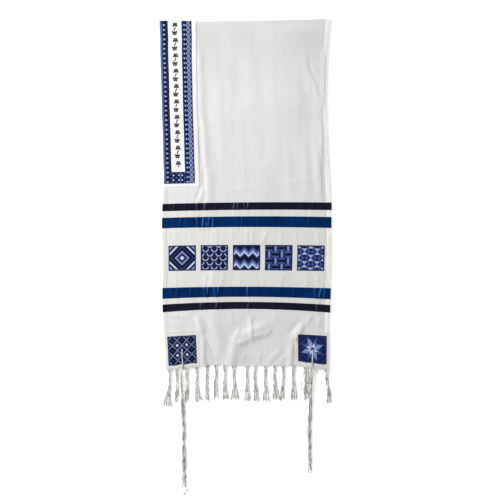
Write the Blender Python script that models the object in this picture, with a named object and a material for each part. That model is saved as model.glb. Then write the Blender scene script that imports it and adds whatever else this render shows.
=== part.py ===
"""Tallit shawl, folded once across its middle and laid flat, right side up.

X runs across the shawl, +Y towards the fold and +Z up from the surface it lies on.
The origin is under the middle of the footprint, on that surface.
Sizes below are in millimetres. A place on the cloth is given by two distances:
"across" from its left selvedge, and "along" from the fold, which is positive on the
upper half and negative on the lower half.
"""

from collections import namedtuple

import bmesh
import bpy
import numpy as np

MM = 0.001

# The cut of the cloth, and its wall
CLOTH_WIDTH = 507.0
FRONT_LENGTH = 1037.0
BACK_LENGTH = 1031.0
CLOTH_WALL = 1.2
FOLD_Y = 708.0
LAYER_GAP = 1.0
ROLL_EXTRA = 2.6
ROLL_REACH = 45.0
ROLL_HALF = 4.0
BACK_INSET = 1.5
BACK_INSET_REACH = 80.0

# Pieces sewn on the cloth: a seam gap, then a wall
SEAM = 0.3
APPLIQUE_WALL = 1.0
LEVEL_STEP = SEAM + APPLIQUE_WALL

# Neckband: across and along the cloth
BORDER_OUTER_END = 25.0
PANEL_END = 66.0
BORDER_INNER_END = 95.0
GROUND_END = 110.0
PANEL_REACH = 453.0
BORDER_REACH = 487.5
GROUND_REACH = 497.0
NECKBAND_STACK = 2 * LEVEL_STEP
LIFT_RUN_ACROSS = 50.0
LIFT_RUN_ALONG = 50.0

# Ribbons, by the along distance of their edges
Ribbon = namedtuple("Ribbon", "name first last colour")
RIBBONS = (
    Ribbon("ribbon_navy_upper", 546.5, 568.5, "navy"),
    Ribbon("ribbon_blue_upper", 588.5, 618.5, "blue"),
    Ribbon("ribbon_blue_lower", 799.5, 829.5, "blue"),
    Ribbon("ribbon_navy_lower", 845.0, 866.0, "navy"),
)
RIBBON_OVERHANG = 1.0

# Embroidered squares in a row between the blue ribbons
SQUARE_COUNT = 5
SQUARE_WIDTH = 82.0
SQUARE_HEIGHT = 76.0
SQUARE_FIRST = 17.0
SQUARE_PITCH = 96.7
SQUARE_TOP = 674.0

# Corner patches, the squares on them, and the eyelets
PATCH_WIDTH = 104.0
PATCH_HEIGHT = 111.0
PATCH_EDGE = 2.0
CORNER_SQUARE_WIDTH = 88.0
CORNER_SQUARE_HEIGHT = 85.0
CORNER_SQUARE_SIDE = 8.5
CORNER_SQUARE_HEM = 14.0
EYELET_SIDE = 52.0
EYELET_HEM = 56.0
EYELET_RADIUS = 3.6
EYELET_CUT_LOW = 2.7
EYELET_CUT_HIGH = 16.0
CORNER_LIFT = 3.0
CORNER_LIFT_REACH = 45.0

# Fringe: a header strip at each hem, with strands in tassels
STRIP_GAP = 0.4
STRIP_DEPTH = 3.0
STRIP_WALL = 1.2
STRAND = 1.6
ROOT_OFFSETS = (-5.2, -2.6, 2.6, 5.2)
KNOT_OFFSETS = (-3.3, -1.1, 1.1, 3.3)
FLARE_SHARES = (-1.0, -0.35, 0.35, 1.0)
KNOT_DROP = 15.0
FRONT_TIP_Z = 2.7
BACK_STRIP_Z = 0.8
BACK_STRAND = 1.1
BACK_OFFSETS = (-3.0, 3.0)
BACK_TIP_SPREAD = 0.6
BACK_TASSEL = 86.0

Tassel = namedtuple("Tassel", "across lean length flare")
TASSELS = (
    Tassel(10.3, -5, 115, 11),
    Tassel(33.0, 0, 103, 5),
    Tassel(64.0, 1, 103, 5),
    Tassel(94.5, 4, 102, 9),
    Tassel(127.2, 1, 102, 5),
    Tassel(155.3, -1, 97, 8),
    Tassel(181.8, 2, 99, 9),
    Tassel(210.5, 2, 99, 10),
    Tassel(251.3, 2, 103, 9),
    Tassel(277.5, -1, 104, 8),
    Tassel(308.7, 1, 104, 9),
    Tassel(338.0, 2, 102, 9),
    Tassel(365.1, -2, 99, 6),
    Tassel(396.6, -1, 99, 9),
    Tassel(434.0, 0, 99, 5),
    Tassel(499.0, 4, 105, 6),
)

# Tzitzit: a loop through the eyelet, a wound and knotted stem, and eight strands
LOOP_WIDTH = 4.4
LOOP_HEIGHT = 2.2
STEM_SIDES = 6
STEM_LENGTH = 62.0
KNOT_COUNT = 5
KNOT_LENGTH = 7.0
FRONT_WINDING = 2.6
FRONT_KNOT = 3.4
BACK_WINDING = 2.2
BACK_KNOT = 2.7
FRONT_STEM_Z = 9.8
BACK_STEM_Z = 3.2
NECK_WALL = 1.1
NECK_GAP = 0.6
STEM_START = 13.0
BACK_STEM_START = 24.0
STRAND_PITCH = 2.1
STRAND_COLUMNS = 4
STRAND_ROWS = 2
FRONT_STRAND_Z = 5.5
BACK_STRAND_Z = 1.3
STRAND_SINK = 3.0
ROOT_NARROWING = 0.42
ROOT_ROW_PITCH = 1.7
STRAND_SHARES = np.array([0.0, 0.12, 0.35, 0.6, 0.86, 1.0])
TIP_STAGGER = 9.0
TIP_DROP = 4.2
TIP_DROP_RUN = 45.0
BACK_SHORTER = 74.0
TIP_SPREAD = 1.35

# Routes of the tzitzit from the hem down, as the middle line of each bundle
Place = namedtuple("Place", "x y")
LEFT_ROUTE = (
    Place(-193.0, -345), Place(-193.5, -371), Place(-189.5, -407), Place(-186.0, -455),
    Place(-182.5, -506), Place(-183.0, -554), Place(-181.5, -611), Place(-181.5, -656),
    Place(-183.0, -690), Place(-186.5, -715),
)
RIGHT_ROUTE = (
    Place(196.5, -345), Place(197.0, -371), Place(195.0, -407), Place(193.5, -455),
    Place(191.5, -506), Place(191.5, -554), Place(191.5, -595), Place(192.5, -625),
    Place(195.0, -650),
)

# Outline of the laid shawl: one row for each line across it. The drops say how far
# the line's ends lie below its middle.
Section = namedtuple("Section", "along left_x right_x left_drop right_drop")
SECTIONS = (
    Section(0, -258.9, 253.5, 1.2, -6.3),
    Section(119, -255.9, 246.6, 1.5, -3.0),
    Section(239, -252.9, 245.4, 1.8, -1.5),
    Section(359, -249.6, 248.1, 2.4, -0.6),
    Section(491, -246.9, 255.0, 3.6, 0.0),
    Section(549, -249.6, 256.5, 4.8, 0.6),
    Section(619, -249.9, 257.1, 3.9, 3.0),
    Section(674, -248.4, 257.7, 3.0, 2.4),
    Section(800, -248.7, 254.1, 3.9, 4.8),
    Section(866, -248.1, 251.7, 10.2, 11.4),
    Section(944, -243.9, 251.1, 9.0, 9.6),
    Section(1037, -237.9, 249.9, 8.4, 8.7),
)

# The largest soft folds of the upper half, as ridges from one place to another
Ridge = namedtuple("Ridge", "across along to_across to_along height half_width")
RIDGES = (
    Ridge(118, 40, 121, 460, 4.0, 10),
    Ridge(339, 914, 217, 962, 5.5, 17),
    Ridge(217, 962, 190, 1022, 5.5, 17),
    Ridge(424, 903, 391, 962, 5.5, 13),
    Ridge(391, 962, 384, 1030, 5.5, 13),
    Ridge(101, 880, 116, 936, 3.5, 12),
    Ridge(116, 936, 113, 1025, 3.5, 12),
    Ridge(160, 612, 160, 960, 2.6, 24),
    Ridge(472, 60, 476, 525, 3.0, 20),
    Ridge(300, 390, 290, 600, 1.8, 36),
    Ridge(330, 60, 345, 300, 1.5, 40),
)

# Lines of the cloth's own grid
COLUMNS = np.array([
    0, 8.5, 36, 66, 96.5, 104, 110, 119, 130, 145, 164, 187, 212, 240, 270, 300, 330,
    358, 377, 390, 403, 410.5, 425, 442, 462, 481, 498.5, 507,
])
BACK_LINES = (-1031, -940, -830, -700, -600, -547, -522, -497, -380, -250, -120, -40)
ROLL_LINES = 7
PATCH_TOP = FRONT_LENGTH - PATCH_HEIGHT
PATCH_END = FRONT_LENGTH - PATCH_EDGE
CORNER_SQUARE_END = FRONT_LENGTH - CORNER_SQUARE_HEM
CORNER_SQUARE_TOP = CORNER_SQUARE_END - CORNER_SQUARE_HEIGHT
FRONT_EDGES = (
    ROLL_HALF, 546.5, 799.5, 866.0, PATCH_TOP, CORNER_SQUARE_TOP, CORNER_SQUARE_END,
    PATCH_END, FRONT_LENGTH,
)
FRONT_STEPS = (60.0, 36.0, 33.0, 20.0, 12.0, 17.0, 12.0, PATCH_EDGE)

Finish = namedtuple("Finish", "red green blue roughness")
FINISHES = {
    "shawl_cotton": Finish(0.80, 0.80, 0.80, 0.85),
    "neckband_satin": Finish(0.84, 0.83, 0.80, 0.55),
    "patterned_braid": Finish(0.03, 0.06, 0.25, 0.6),
    "navy_taffeta": Finish(0.01, 0.011, 0.025, 0.35),
    "blue_taffeta": Finish(0.004, 0.035, 0.16, 0.35),
    "blue_embroidery": Finish(0.03, 0.05, 0.2, 0.5),
    "patch_cotton": Finish(0.78, 0.77, 0.72, 0.8),
    "white_yarn": Finish(0.74, 0.73, 0.70, 0.8),
}


def clear_scene():
    for item in list(bpy.data.objects):
        bpy.data.objects.remove(item)


def material(name):
    """The material of that name, made on first use."""
    found = bpy.data.materials.get(name)
    if found:
        return found
    finish = FINISHES[name]
    made = bpy.data.materials.new(name)
    made.use_nodes = True
    shader = made.node_tree.nodes["Principled BSDF"]
    shader.inputs["Base Color"].default_value = (finish.red, finish.green, finish.blue, 1)
    shader.inputs["Roughness"].default_value = finish.roughness
    shader.inputs["Metallic"].default_value = 0.0
    return made


def add_object(name, points, faces, finish):
    """A closed mesh from points in millimetres, with its faces pointing out."""
    mesh = bpy.data.meshes.new(name)
    mesh.from_pydata((np.asarray(points) * MM).tolist(), [], faces)
    work = bmesh.new()
    work.from_mesh(mesh)
    bmesh.ops.recalc_face_normals(work, faces=work.faces)
    work.to_mesh(mesh)
    work.free()
    mesh.shade_smooth()
    if finish:
        mesh.materials.append(material(finish))
    made = bpy.data.objects.new(name, mesh)
    bpy.context.scene.collection.objects.link(made)
    return made


def smooth_step(value):
    value = np.clip(value, 0.0, 1.0)
    return value * value * (3 - 2 * value)


def smooth_curve(at, knots, values):
    """A cubic curve through the values, with each slope taken from the neighbours."""
    knots, values = np.asarray(knots, float), np.asarray(values, float)
    slopes = np.gradient(values, knots)
    cell = np.clip(np.searchsorted(knots, at) - 1, 0, len(knots) - 2)
    span = knots[cell + 1] - knots[cell]
    u = (at - knots[cell]) / span
    start = (1 + 2 * u) * (1 - u) ** 2 * values[cell]
    end = u * u * (3 - 2 * u) * values[cell + 1]
    leave = u * (1 - u) ** 2 * span * slopes[cell]
    arrive = u * u * (u - 1) * span * slopes[cell + 1]
    return start + end + leave + arrive


def column(rows, name):
    """One named column of a table."""
    return [getattr(row, name) for row in rows]


def outline(across, along):
    """X and Y of a place on the laid cloth, which the sections give."""
    knots = column(SECTIONS, "along")
    left, right, left_drop, right_drop = (
        smooth_curve(along, knots, column(SECTIONS, name))
        for name in ("left_x", "right_x", "left_drop", "right_drop")
    )
    side = 2 * across / CLOTH_WIDTH - 1
    x = left + (right - left) * across / CLOTH_WIDTH
    bow = (left_drop + right_drop) / 2 * side**2 + (right_drop - left_drop) / 2 * side
    return x, FOLD_Y - along - bow


def ridge_height(ridge, across, along):
    """A soft ridge round a straight crest: full on the crest, and fading to each side."""
    run = np.array([ridge.to_across - ridge.across, ridge.to_along - ridge.along], float)
    share = ((across - ridge.across) * run[0] + (along - ridge.along) * run[1]) / (run @ run)
    share = np.clip(share, 0.0, 1.0)
    off_across = across - ridge.across - share * run[0]
    off_along = along - ridge.along - share * run[1]
    return ridge.height * np.exp(-(off_across**2 + off_along**2) / ridge.half_width**2)


def drape(across, along):
    """How far the folds lift the upper half. Two ridges that meet count once."""
    heights = [ridge_height(ridge, across, along) for ridge in RIDGES]
    power = 4
    return sum(height**power for height in heights) ** (1 / power)


def eyelet_lift(across, along):
    """The corners lie a little higher, over the tzitzit loops."""
    total = 0.0
    for place in (EYELET_SIDE, CLOTH_WIDTH - EYELET_SIDE):
        loop = Ridge(
            place, FRONT_LENGTH - EYELET_HEM, place, FRONT_LENGTH, CORNER_LIFT, CORNER_LIFT_REACH
        )
        total = total + ridge_height(loop, across, along)
    return total


def under_lift(across, along):
    """How far the neckband's lower half, flat under the cloth, lifts both layers."""
    past_side = (across - BORDER_INNER_END - 1) / LIFT_RUN_ACROSS
    past_end = (abs(along) - GROUND_REACH) / LIFT_RUN_ALONG
    return NECKBAND_STACK * (1 - smooth_step(past_side)) * (1 - smooth_step(past_end))


def back_z(across, along):
    return CLOTH_WALL / 2 + under_lift(across, along)


def front_z(across, along):
    roll = ROLL_EXTRA * np.exp(-((along / ROLL_REACH) ** 2))
    base = back_z(across, along) + CLOTH_WALL + LAYER_GAP + roll
    return base + np.maximum(drape(across, along), eyelet_lift(across, along))


def cloth_middle(across, along):
    """The middle surface of the folded cloth: two layers joined by a half circle."""
    flat_along = np.maximum(abs(along) - ROLL_HALF, 0.0)
    x, y = outline(across, flat_along)
    low = back_z(across, flat_along)
    high = front_z(across, flat_along)
    centre, radius = (high + low) / 2, (high - low) / 2
    angle = np.clip(along / ROLL_HALF, -1.0, 1.0) * np.pi / 2
    inset = BACK_INSET * smooth_step(-along / BACK_INSET_REACH)
    x = x - inset * (2 * across / CLOTH_WIDTH - 1)
    y = y + radius * np.cos(angle)
    return np.stack([x, y, centre + radius * np.sin(angle)], axis=-1)


def cloth_lines():
    """The along distances of the cloth's grid lines, from the back hem to the front."""
    roll = np.linspace(-ROLL_HALF, ROLL_HALF, ROLL_LINES)
    front = [
        np.linspace(first, last, round((last - first) / step) + 1)[1:]
        for first, last, step in zip(FRONT_EDGES, FRONT_EDGES[1:], FRONT_STEPS)
    ]
    return np.concatenate([BACK_LINES, roll, *front])


ROWS = cloth_lines()
MIDDLE = cloth_middle(COLUMNS[None, :], ROWS[:, None])


def grid_normals(points):
    """Unit normals on the cloth's right side, from the slopes along both grid lines."""
    along_slope = np.gradient(points, axis=0)
    across_slope = np.gradient(points, axis=1)
    normals = np.cross(along_slope, across_slope)
    return normals / np.linalg.norm(normals, axis=-1, keepdims=True)


NORMALS = grid_normals(MIDDLE)


def on_cloth(across, along, height):
    """Points that far above the cloth's middle, between the cloth's own grid points."""
    i = np.clip(np.searchsorted(ROWS, along) - 1, 0, len(ROWS) - 2)
    j = np.clip(np.searchsorted(COLUMNS, across) - 1, 0, len(COLUMNS) - 2)
    u = ((along - ROWS[i]) / (ROWS[i + 1] - ROWS[i]))[..., None]
    v = ((across - COLUMNS[j]) / (COLUMNS[j + 1] - COLUMNS[j]))[..., None]
    moved = MIDDLE + NORMALS * height
    near = moved[i, j] * (1 - v) + moved[i, j + 1] * v
    far = moved[i + 1, j] * (1 - v) + moved[i + 1, j + 1] * v
    return near * (1 - u) + far * u


def wall(name, under, over, finish):
    """A closed wall between two grids of points, rows by columns, in flat triangles."""
    rows, columns = under.shape[:2]
    index = np.arange(rows * columns).reshape(rows, columns)
    corner, right = index[:-1, :-1], index[:-1, 1:]
    below, opposite = index[1:, :-1], index[1:, 1:]
    skin = np.stack([corner, right, opposite, corner, opposite, below], axis=-1).reshape(-1, 3)
    rim = np.concatenate([index[0, :-1], index[:-1, -1], index[-1, :0:-1], index[:0:-1, 0]])
    onward = np.roll(rim, -1)
    top = rows * columns
    sides = np.stack([rim, onward, onward + top, rim, onward + top, rim + top], axis=-1)
    faces = np.concatenate([skin, skin[:, ::-1] + top, sides.reshape(-1, 3)])
    points = np.concatenate([under.reshape(-1, 3), over.reshape(-1, 3)])
    return add_object(name, points, faces.tolist(), finish)


def lines_between(lines, first, last):
    """A piece's two edges, with the cloth's grid lines that lie between them."""
    clear = 1.5
    inside = lines[(lines > first + clear) & (lines < last - clear)]
    return np.concatenate([[first], inside, [last]])


def applique(name, across, along, level, finish):
    """A flat piece sewn on the cloth, made from the cloth's points, moved out."""
    columns = lines_between(COLUMNS, *across)[None, :]
    rows = lines_between(ROWS, *along)[:, None]
    columns, rows = np.broadcast_arrays(columns, rows)
    low = CLOTH_WALL / 2 + SEAM + (level - 1) * LEVEL_STEP
    under = on_cloth(columns, rows, low)
    over = on_cloth(columns, rows, low + APPLIQUE_WALL)
    return wall(name, under, over, finish)


def tube(path, widths, heights, sides):
    """Points and faces of a closed tube. Its rings stay level across, and may be oval."""
    path = np.asarray(path, float)
    ahead = np.gradient(path, axis=0)
    across = np.array([1.0, 0.0, 0.0])
    up = np.cross(across, ahead)
    up /= np.linalg.norm(up, axis=1, keepdims=True)
    widths = np.broadcast_to(widths, len(path))[:, None, None]
    heights = np.broadcast_to(heights, len(path))[:, None, None]
    turn = (np.arange(sides) + 0.5) * 2 * np.pi / sides
    side, rise = np.cos(turn), np.sin(turn)
    wide = 0.5 * widths * (side / side.max())[None, :, None] * across
    tall = 0.5 * heights * (rise / rise.max())[None, :, None] * up[:, None, :]
    points = (path[:, None, :] + wide + tall).reshape(-1, 3)
    index = np.arange(len(path) * sides).reshape(len(path), sides)
    onward = np.roll(index, -1, axis=1)
    skin = np.stack([index[:-1], onward[:-1], onward[1:], index[1:]], axis=-1).reshape(-1, 4)
    caps = [index[0, ::-1].tolist(), index[-1].tolist()]
    return points, skin.tolist() + caps


def add_tubes(name, tubes, finish):
    """One object of several tubes that stand apart."""
    points, faces, start = [], [], 0
    for tube_points, tube_faces in tubes:
        points.append(tube_points)
        faces += [[start + i for i in face] for face in tube_faces]
        start += len(tube_points)
    return add_object(name, np.concatenate(points), faces, finish)


def add_boolean(target, other, operation):
    """Joins or cuts the target with a helper object, which itself isn't shown."""
    other.hide_render = True
    other.display_type = "WIRE"
    modifier = target.modifiers.new(operation.title(), "BOOLEAN")
    modifier.operation = operation
    modifier.object = other
    modifier.solver = "EXACT"
    modifier.use_self = operation == "UNION"


def make_cloth():
    half = CLOTH_WALL / 2
    return wall("shawl_cloth", MIDDLE - NORMALS * half, MIDDLE + NORMALS * half, "shawl_cotton")


def make_neckband():
    """A white ground with a braid frame and a plain panel. All of it goes round the fold."""
    panel = (BORDER_OUTER_END + SEAM, PANEL_END - SEAM)
    both = (-BORDER_REACH, BORDER_REACH)
    applique(
        "neckband_ground", (0, GROUND_END), (-GROUND_REACH, GROUND_REACH), 1, "neckband_satin"
    )
    applique("neckband_outer_border", (0, BORDER_OUTER_END), both, 2, "patterned_braid")
    applique("neckband_inner_border", (PANEL_END, BORDER_INNER_END), both, 2, "patterned_braid")
    applique(
        "neckband_front_end", panel, (PANEL_REACH + SEAM, BORDER_REACH), 2, "patterned_braid"
    )
    applique(
        "neckband_back_end", panel, (-BORDER_REACH, -PANEL_REACH - SEAM), 2, "patterned_braid"
    )
    applique("neckband_panel", panel, (-PANEL_REACH, PANEL_REACH), 2, "neckband_satin")


def make_ribbons():
    across = (-RIBBON_OVERHANG, CLOTH_WIDTH + RIBBON_OVERHANG)
    for ribbon in RIBBONS:
        applique(
            ribbon.name, across, (ribbon.first, ribbon.last), 1, ribbon.colour + "_taffeta"
        )


def make_squares():
    for number in range(SQUARE_COUNT):
        first = SQUARE_FIRST + number * SQUARE_PITCH
        applique(
            f"embroidered_square_{number + 1}",
            (first, first + SQUARE_WIDTH),
            (SQUARE_TOP, SQUARE_TOP + SQUARE_HEIGHT),
            1,
            "blue_embroidery",
        )


def from_side(side, near, far):
    """Across distances measured in from the left or the right selvedge."""
    if side == "left":
        return (near, far)
    return (CLOTH_WIDTH - far, CLOTH_WIDTH - near)


def make_eyelet_cutter(side, place):
    """An upright round peg that cuts the upper layer and stops above the lower one."""
    path = [(place[0], place[1], z) for z in (EYELET_CUT_LOW, EYELET_CUT_HIGH)]
    turn = np.arange(8) * np.pi / 4
    ring = EYELET_RADIUS * np.stack([np.cos(turn), np.sin(turn), 0 * turn], axis=-1)
    points = np.concatenate([ring + np.array(end) for end in path])
    sides = [[i, (i + 1) % 8, 8 + (i + 1) % 8, 8 + i] for i in range(8)]
    caps = [list(range(7, -1, -1)), list(range(8, 16))]
    return add_object("eyelet_cutter_" + side, points, sides + caps, None)


def make_corner(side, cloth):
    """A cotton patch and an embroidered square at one front corner, with an eyelet."""
    patch = applique(
        "corner_patch_" + side,
        from_side(side, 0, PATCH_WIDTH),
        (PATCH_TOP, PATCH_END),
        1,
        "patch_cotton",
    )
    square = applique(
        "corner_square_" + side,
        from_side(side, CORNER_SQUARE_SIDE, CORNER_SQUARE_SIDE + CORNER_SQUARE_WIDTH),
        (CORNER_SQUARE_TOP, CORNER_SQUARE_END),
        2,
        "blue_embroidery",
    )
    cutter = make_eyelet_cutter(side, eyelet_place(side))
    for layer in (cloth, patch, square):
        add_boolean(layer, cutter, "DIFFERENCE")


def eyelet_place(side):
    across = np.array(from_side(side, EYELET_SIDE, EYELET_SIDE)[0])
    return on_cloth(across, np.array(FRONT_LENGTH - EYELET_HEM), 0.0)


def hem_place(across, front):
    """A point at the middle of the header strip, just outside the hem."""
    along = np.array(FRONT_LENGTH if front else -BACK_LENGTH)
    point = on_cloth(np.array(float(across)), along, 0.0)
    point[1] -= STRIP_GAP + STRIP_DEPTH / 2
    if not front:
        point[2] = BACK_STRIP_Z
    return point


def header_strip(name, front):
    """A narrow strip along the hem, from which the tassels hang."""
    columns = COLUMNS.copy()
    columns[[0, -1]] += (0.5, -0.5)
    middle = np.array([hem_place(across, front) for across in columns])
    depth = np.array([0.0, STRIP_DEPTH / 2, 0.0])
    half = np.array([0.0, 0.0, STRIP_WALL / 2])
    line = np.stack([middle + depth, middle - depth])
    return wall(name, line - half, line + half, "white_yarn")


def strand_path(root, offsets, tassel, tip_z):
    """From the strip down to the knot, then on in a slight curve to the flared tip."""
    root_offset, knot_offset, tip_offset = offsets
    x, y, z = [root[0] + root_offset], [root[1]], [root[2]]
    for share in (0.0, 0.5, 1.0):
        spread = knot_offset + (tip_offset - knot_offset) * share**2
        x.append(root[0] + tassel.lean * share + spread)
        y.append(root[1] - KNOT_DROP - share * (tassel.length - KNOT_DROP))
        z.append(root[2] + (tip_z - root[2]) * min(1.0, 0.4 + share))
    return np.stack([x, y, z], axis=-1)


def make_front_fringe():
    strip = header_strip("fringe_front", True)
    strands = []
    for tassel in TASSELS:
        root = hem_place(tassel.across, True)
        for root_offset, knot_offset, share in zip(ROOT_OFFSETS, KNOT_OFFSETS, FLARE_SHARES):
            offsets = (root_offset, knot_offset, share * tassel.flare)
            path = strand_path(root, offsets, tassel, FRONT_TIP_Z)
            strands.append(tube(path, STRAND, STRAND, 4))
    add_boolean(strip, add_tubes("fringe_front_strands", strands, None), "UNION")


def make_back_fringe():
    strip = header_strip("fringe_back", False)
    strands = []
    for tassel in TASSELS:
        root = hem_place(tassel.across, False)
        for offset in BACK_OFFSETS:
            share = np.array([0.0, 0.5, 1.0])
            x = root[0] + offset + share * (tassel.lean + offset * BACK_TIP_SPREAD)
            y = root[1] - share * BACK_TASSEL
            path = np.stack([x, y, np.full(len(share), BACK_STRIP_Z)], axis=-1)
            strands.append(tube(path, BACK_STRAND, BACK_STRAND, 4))
    add_boolean(strip, add_tubes("fringe_back_strands", strands, None), "UNION")


def stem_profile(winding, knot):
    """Distances down a stem with its radius at each: knots, and windings between them."""
    pitch = (STEM_LENGTH - KNOT_LENGTH) / (KNOT_COUNT - 1)
    distances, radii = [], []
    for number in range(KNOT_COUNT):
        middle = KNOT_LENGTH / 2 + number * pitch
        distances += [middle - KNOT_LENGTH / 2, middle, middle + KNOT_LENGTH / 2]
        radii += [winding, knot, winding]
    return np.array(distances), np.array(radii)


def route_x(route, y):
    """X of a tzitzit's middle line at that Y."""
    downward = -np.array(column(route, "y"), float)
    return smooth_curve(-np.asarray(y, float), downward, column(route, "x"))


def strand_tubes(route, start_y, end_y, stem_z, strand_z, tip_drop):
    """Eight strands in two rows, close under the stem and a little apart at the tips."""
    tubes = []
    for row in range(STRAND_ROWS):
        for place in range(STRAND_COLUMNS):
            stagger = TIP_STAGGER * ((3 * place + 2 * row) % STRAND_COLUMNS)
            share = STRAND_SHARES
            y = start_y + share * (end_y + stagger - start_y)
            offset = (place - (STRAND_COLUMNS - 1) / 2) * STRAND_PITCH
            widening = np.where(share == 0, ROOT_NARROWING, 1 + (TIP_SPREAD - 1) * share)
            level = strand_z + row * STRAND_PITCH
            z = np.where(share == 0, stem_z + (row - 0.5) * ROOT_ROW_PITCH, level)
            z = z - tip_drop * smooth_step((end_y + TIP_DROP_RUN - y) / TIP_DROP_RUN)
            x = route_x(route, y) + offset * widening
            tubes.append(tube(np.stack([x, y, z], axis=-1), STRAND, STRAND, 4))
    return tubes


def loop_path(side, route, hem_y):
    """From the stem over the hem and the patch, through the eyelet, and back under."""
    eye_x, eye_y, eye_z = eyelet_place(side)
    over = eye_z + CLOTH_WALL / 2 + NECKBAND_STACK + SEAM + LOOP_HEIGHT / 2
    under = eye_z - CLOTH_WALL / 2 - SEAM - LOOP_HEIGHT / 2
    stem_top = hem_y - STEM_START
    inside = stem_top - KNOT_LENGTH / 2
    past_strip = hem_y - STRIP_GAP - STRIP_DEPTH - LOOP_HEIGHT
    stem_x = float(route_x(route, inside))
    hem_x = (eye_x + stem_x) / 2
    return [
        (stem_x, inside, FRONT_STEM_Z + 0.8),
        (stem_x, stem_top + 3, FRONT_STEM_Z + 0.6),
        (hem_x, hem_y, over),
        (eye_x, eye_y - 3.2, over),
        (eye_x, eye_y - 0.3, over - 0.5),
        (eye_x, eye_y + 0.3, eye_z),
        (eye_x, eye_y - 0.3, under + 0.5),
        (eye_x, eye_y - 3.2, under),
        (hem_x, hem_y, under),
        (stem_x, past_strip, under),
        (stem_x, stem_top + 1.5, FRONT_STEM_Z - 2.2),
        (stem_x, inside, FRONT_STEM_Z - 0.8),
    ]


def make_tzitzit(side, front):
    """One tassel of a corner: stem and strands, and in front its loop round the hem."""
    route = LEFT_ROUTE if side == "left" else RIGHT_ROUTE
    eyelet_across = from_side(side, EYELET_SIDE, EYELET_SIDE)[0]
    hem_y = hem_place(eyelet_across, True)[1] + STRIP_GAP + STRIP_DEPTH / 2
    winding, knot = (FRONT_WINDING, FRONT_KNOT) if front else (BACK_WINDING, BACK_KNOT)
    stem_z = FRONT_STEM_Z if front else BACK_STEM_Z
    strand_z = FRONT_STRAND_Z if front else BACK_STRAND_Z
    distances, radii = stem_profile(winding, knot)
    first = hem_y - (STEM_START if front else BACK_STEM_START)
    y = first - distances
    path = np.stack([route_x(route, y), y, np.full(len(y), stem_z)], axis=-1)
    widths = heights = 2 * radii
    if not front:
        neck_across = eyelet_across + route_x(route, hem_y) - eyelet_place(side)[0]
        strip_y = hem_place(neck_across, False)[1] - STRIP_DEPTH / 2
        neck_y = np.array([strip_y - NECK_GAP, hem_y - STEM_START])
        neck_z = np.full(2, SEAM + NECK_WALL / 2)
        neck = np.stack([route_x(route, neck_y), neck_y, neck_z], axis=-1)
        path = np.concatenate([neck, path])
        widths = np.concatenate([[LOOP_WIDTH, LOOP_WIDTH], widths])
        heights = np.concatenate([[NECK_WALL, NECK_WALL], heights])
    name = f"tzitzit_{'front' if front else 'back'}_{side}"
    stem = add_tubes(name, [tube(path, widths, heights, STEM_SIDES)], "white_yarn")
    end_y = route[-1].y + (0 if front else BACK_SHORTER)
    root_y = y[-1] + STRAND_SINK
    extras = strand_tubes(route, root_y, end_y, stem_z, strand_z, TIP_DROP if front else 0.0)
    if front:
        extras.append(tube(loop_path(side, route, hem_y), LOOP_WIDTH, LOOP_HEIGHT, STEM_SIDES))
    add_boolean(stem, add_tubes(name + "_strands", extras, None), "UNION")


def main():
    clear_scene()
    cloth = make_cloth()
    make_neckband()
    make_ribbons()
    make_squares()
    for side in ("left", "right"):
        make_corner(side, cloth)
    make_front_fringe()
    make_back_fringe()
    for side in ("left", "right"):
        make_tzitzit(side, True)
        make_tzitzit(side, False)


main()
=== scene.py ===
# %% [markdown]
# # A folded prayer shawl
#
# The shawl is one strip of white cotton, half a metre wide and about two metres long. It lies
# folded once across its middle, with a patterned neckband, four ribbons, seven embroidered
# squares, knotted fringe, and a long tassel through an eyelet at each corner. The sizes below are
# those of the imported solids, which this script dresses: each gets a finer piece in its place.

# %% Load the solids
from collections import namedtuple

import bpy
import numpy as np
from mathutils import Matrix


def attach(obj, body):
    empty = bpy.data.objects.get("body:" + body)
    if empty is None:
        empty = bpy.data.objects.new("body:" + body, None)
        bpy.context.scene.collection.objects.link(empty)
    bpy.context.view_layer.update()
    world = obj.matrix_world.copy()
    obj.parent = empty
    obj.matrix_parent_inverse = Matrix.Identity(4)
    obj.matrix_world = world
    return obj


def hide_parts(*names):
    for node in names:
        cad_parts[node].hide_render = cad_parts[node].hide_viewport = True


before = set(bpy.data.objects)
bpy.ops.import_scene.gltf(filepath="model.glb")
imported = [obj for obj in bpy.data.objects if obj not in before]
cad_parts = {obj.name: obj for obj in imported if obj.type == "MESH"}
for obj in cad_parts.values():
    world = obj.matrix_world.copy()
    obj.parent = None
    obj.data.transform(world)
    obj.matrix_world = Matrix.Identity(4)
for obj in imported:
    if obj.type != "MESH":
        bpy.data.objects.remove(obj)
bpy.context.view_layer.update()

# %% [markdown]
# ## Where a place on the cloth lies
#
# Everything sewn on a shawl is placed by measuring along the cloth, so the script does the same.
# "Across" runs from the left selvedge, and "along" from the fold, positive on the upper half.
# One function turns such a place into a point in space. Ribbons, squares and stitches all use
# it, so each follows the cloth's shape, creases and fold with no fitting afterwards.

# %% Sizes of the cloth, in millimetres
MM = 0.001
WIDTH = 507.0
FRONT_LENGTH = 1037.0
BACK_LENGTH = 1031.0
FOLD_Y = 708.0
# The cloth is drawn thinner than its solid, and keeps the solid's middle.
SOLID_WALL = 1.2
WALL = 0.9
LAYER_GAP = 1.0
LOFT = 1.3
# A half circle joins the two layers over ROLL_HALF each way, and they stand further apart there.
ROLL_HALF = 4.0
ROLL_EXTRA = 2.6
ROLL_REACH = 45.0
# The lower half is drawn in at its sides, so that it stays hidden.
BACK_INSET = 1.5
BACK_INSET_REACH = 80.0

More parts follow.
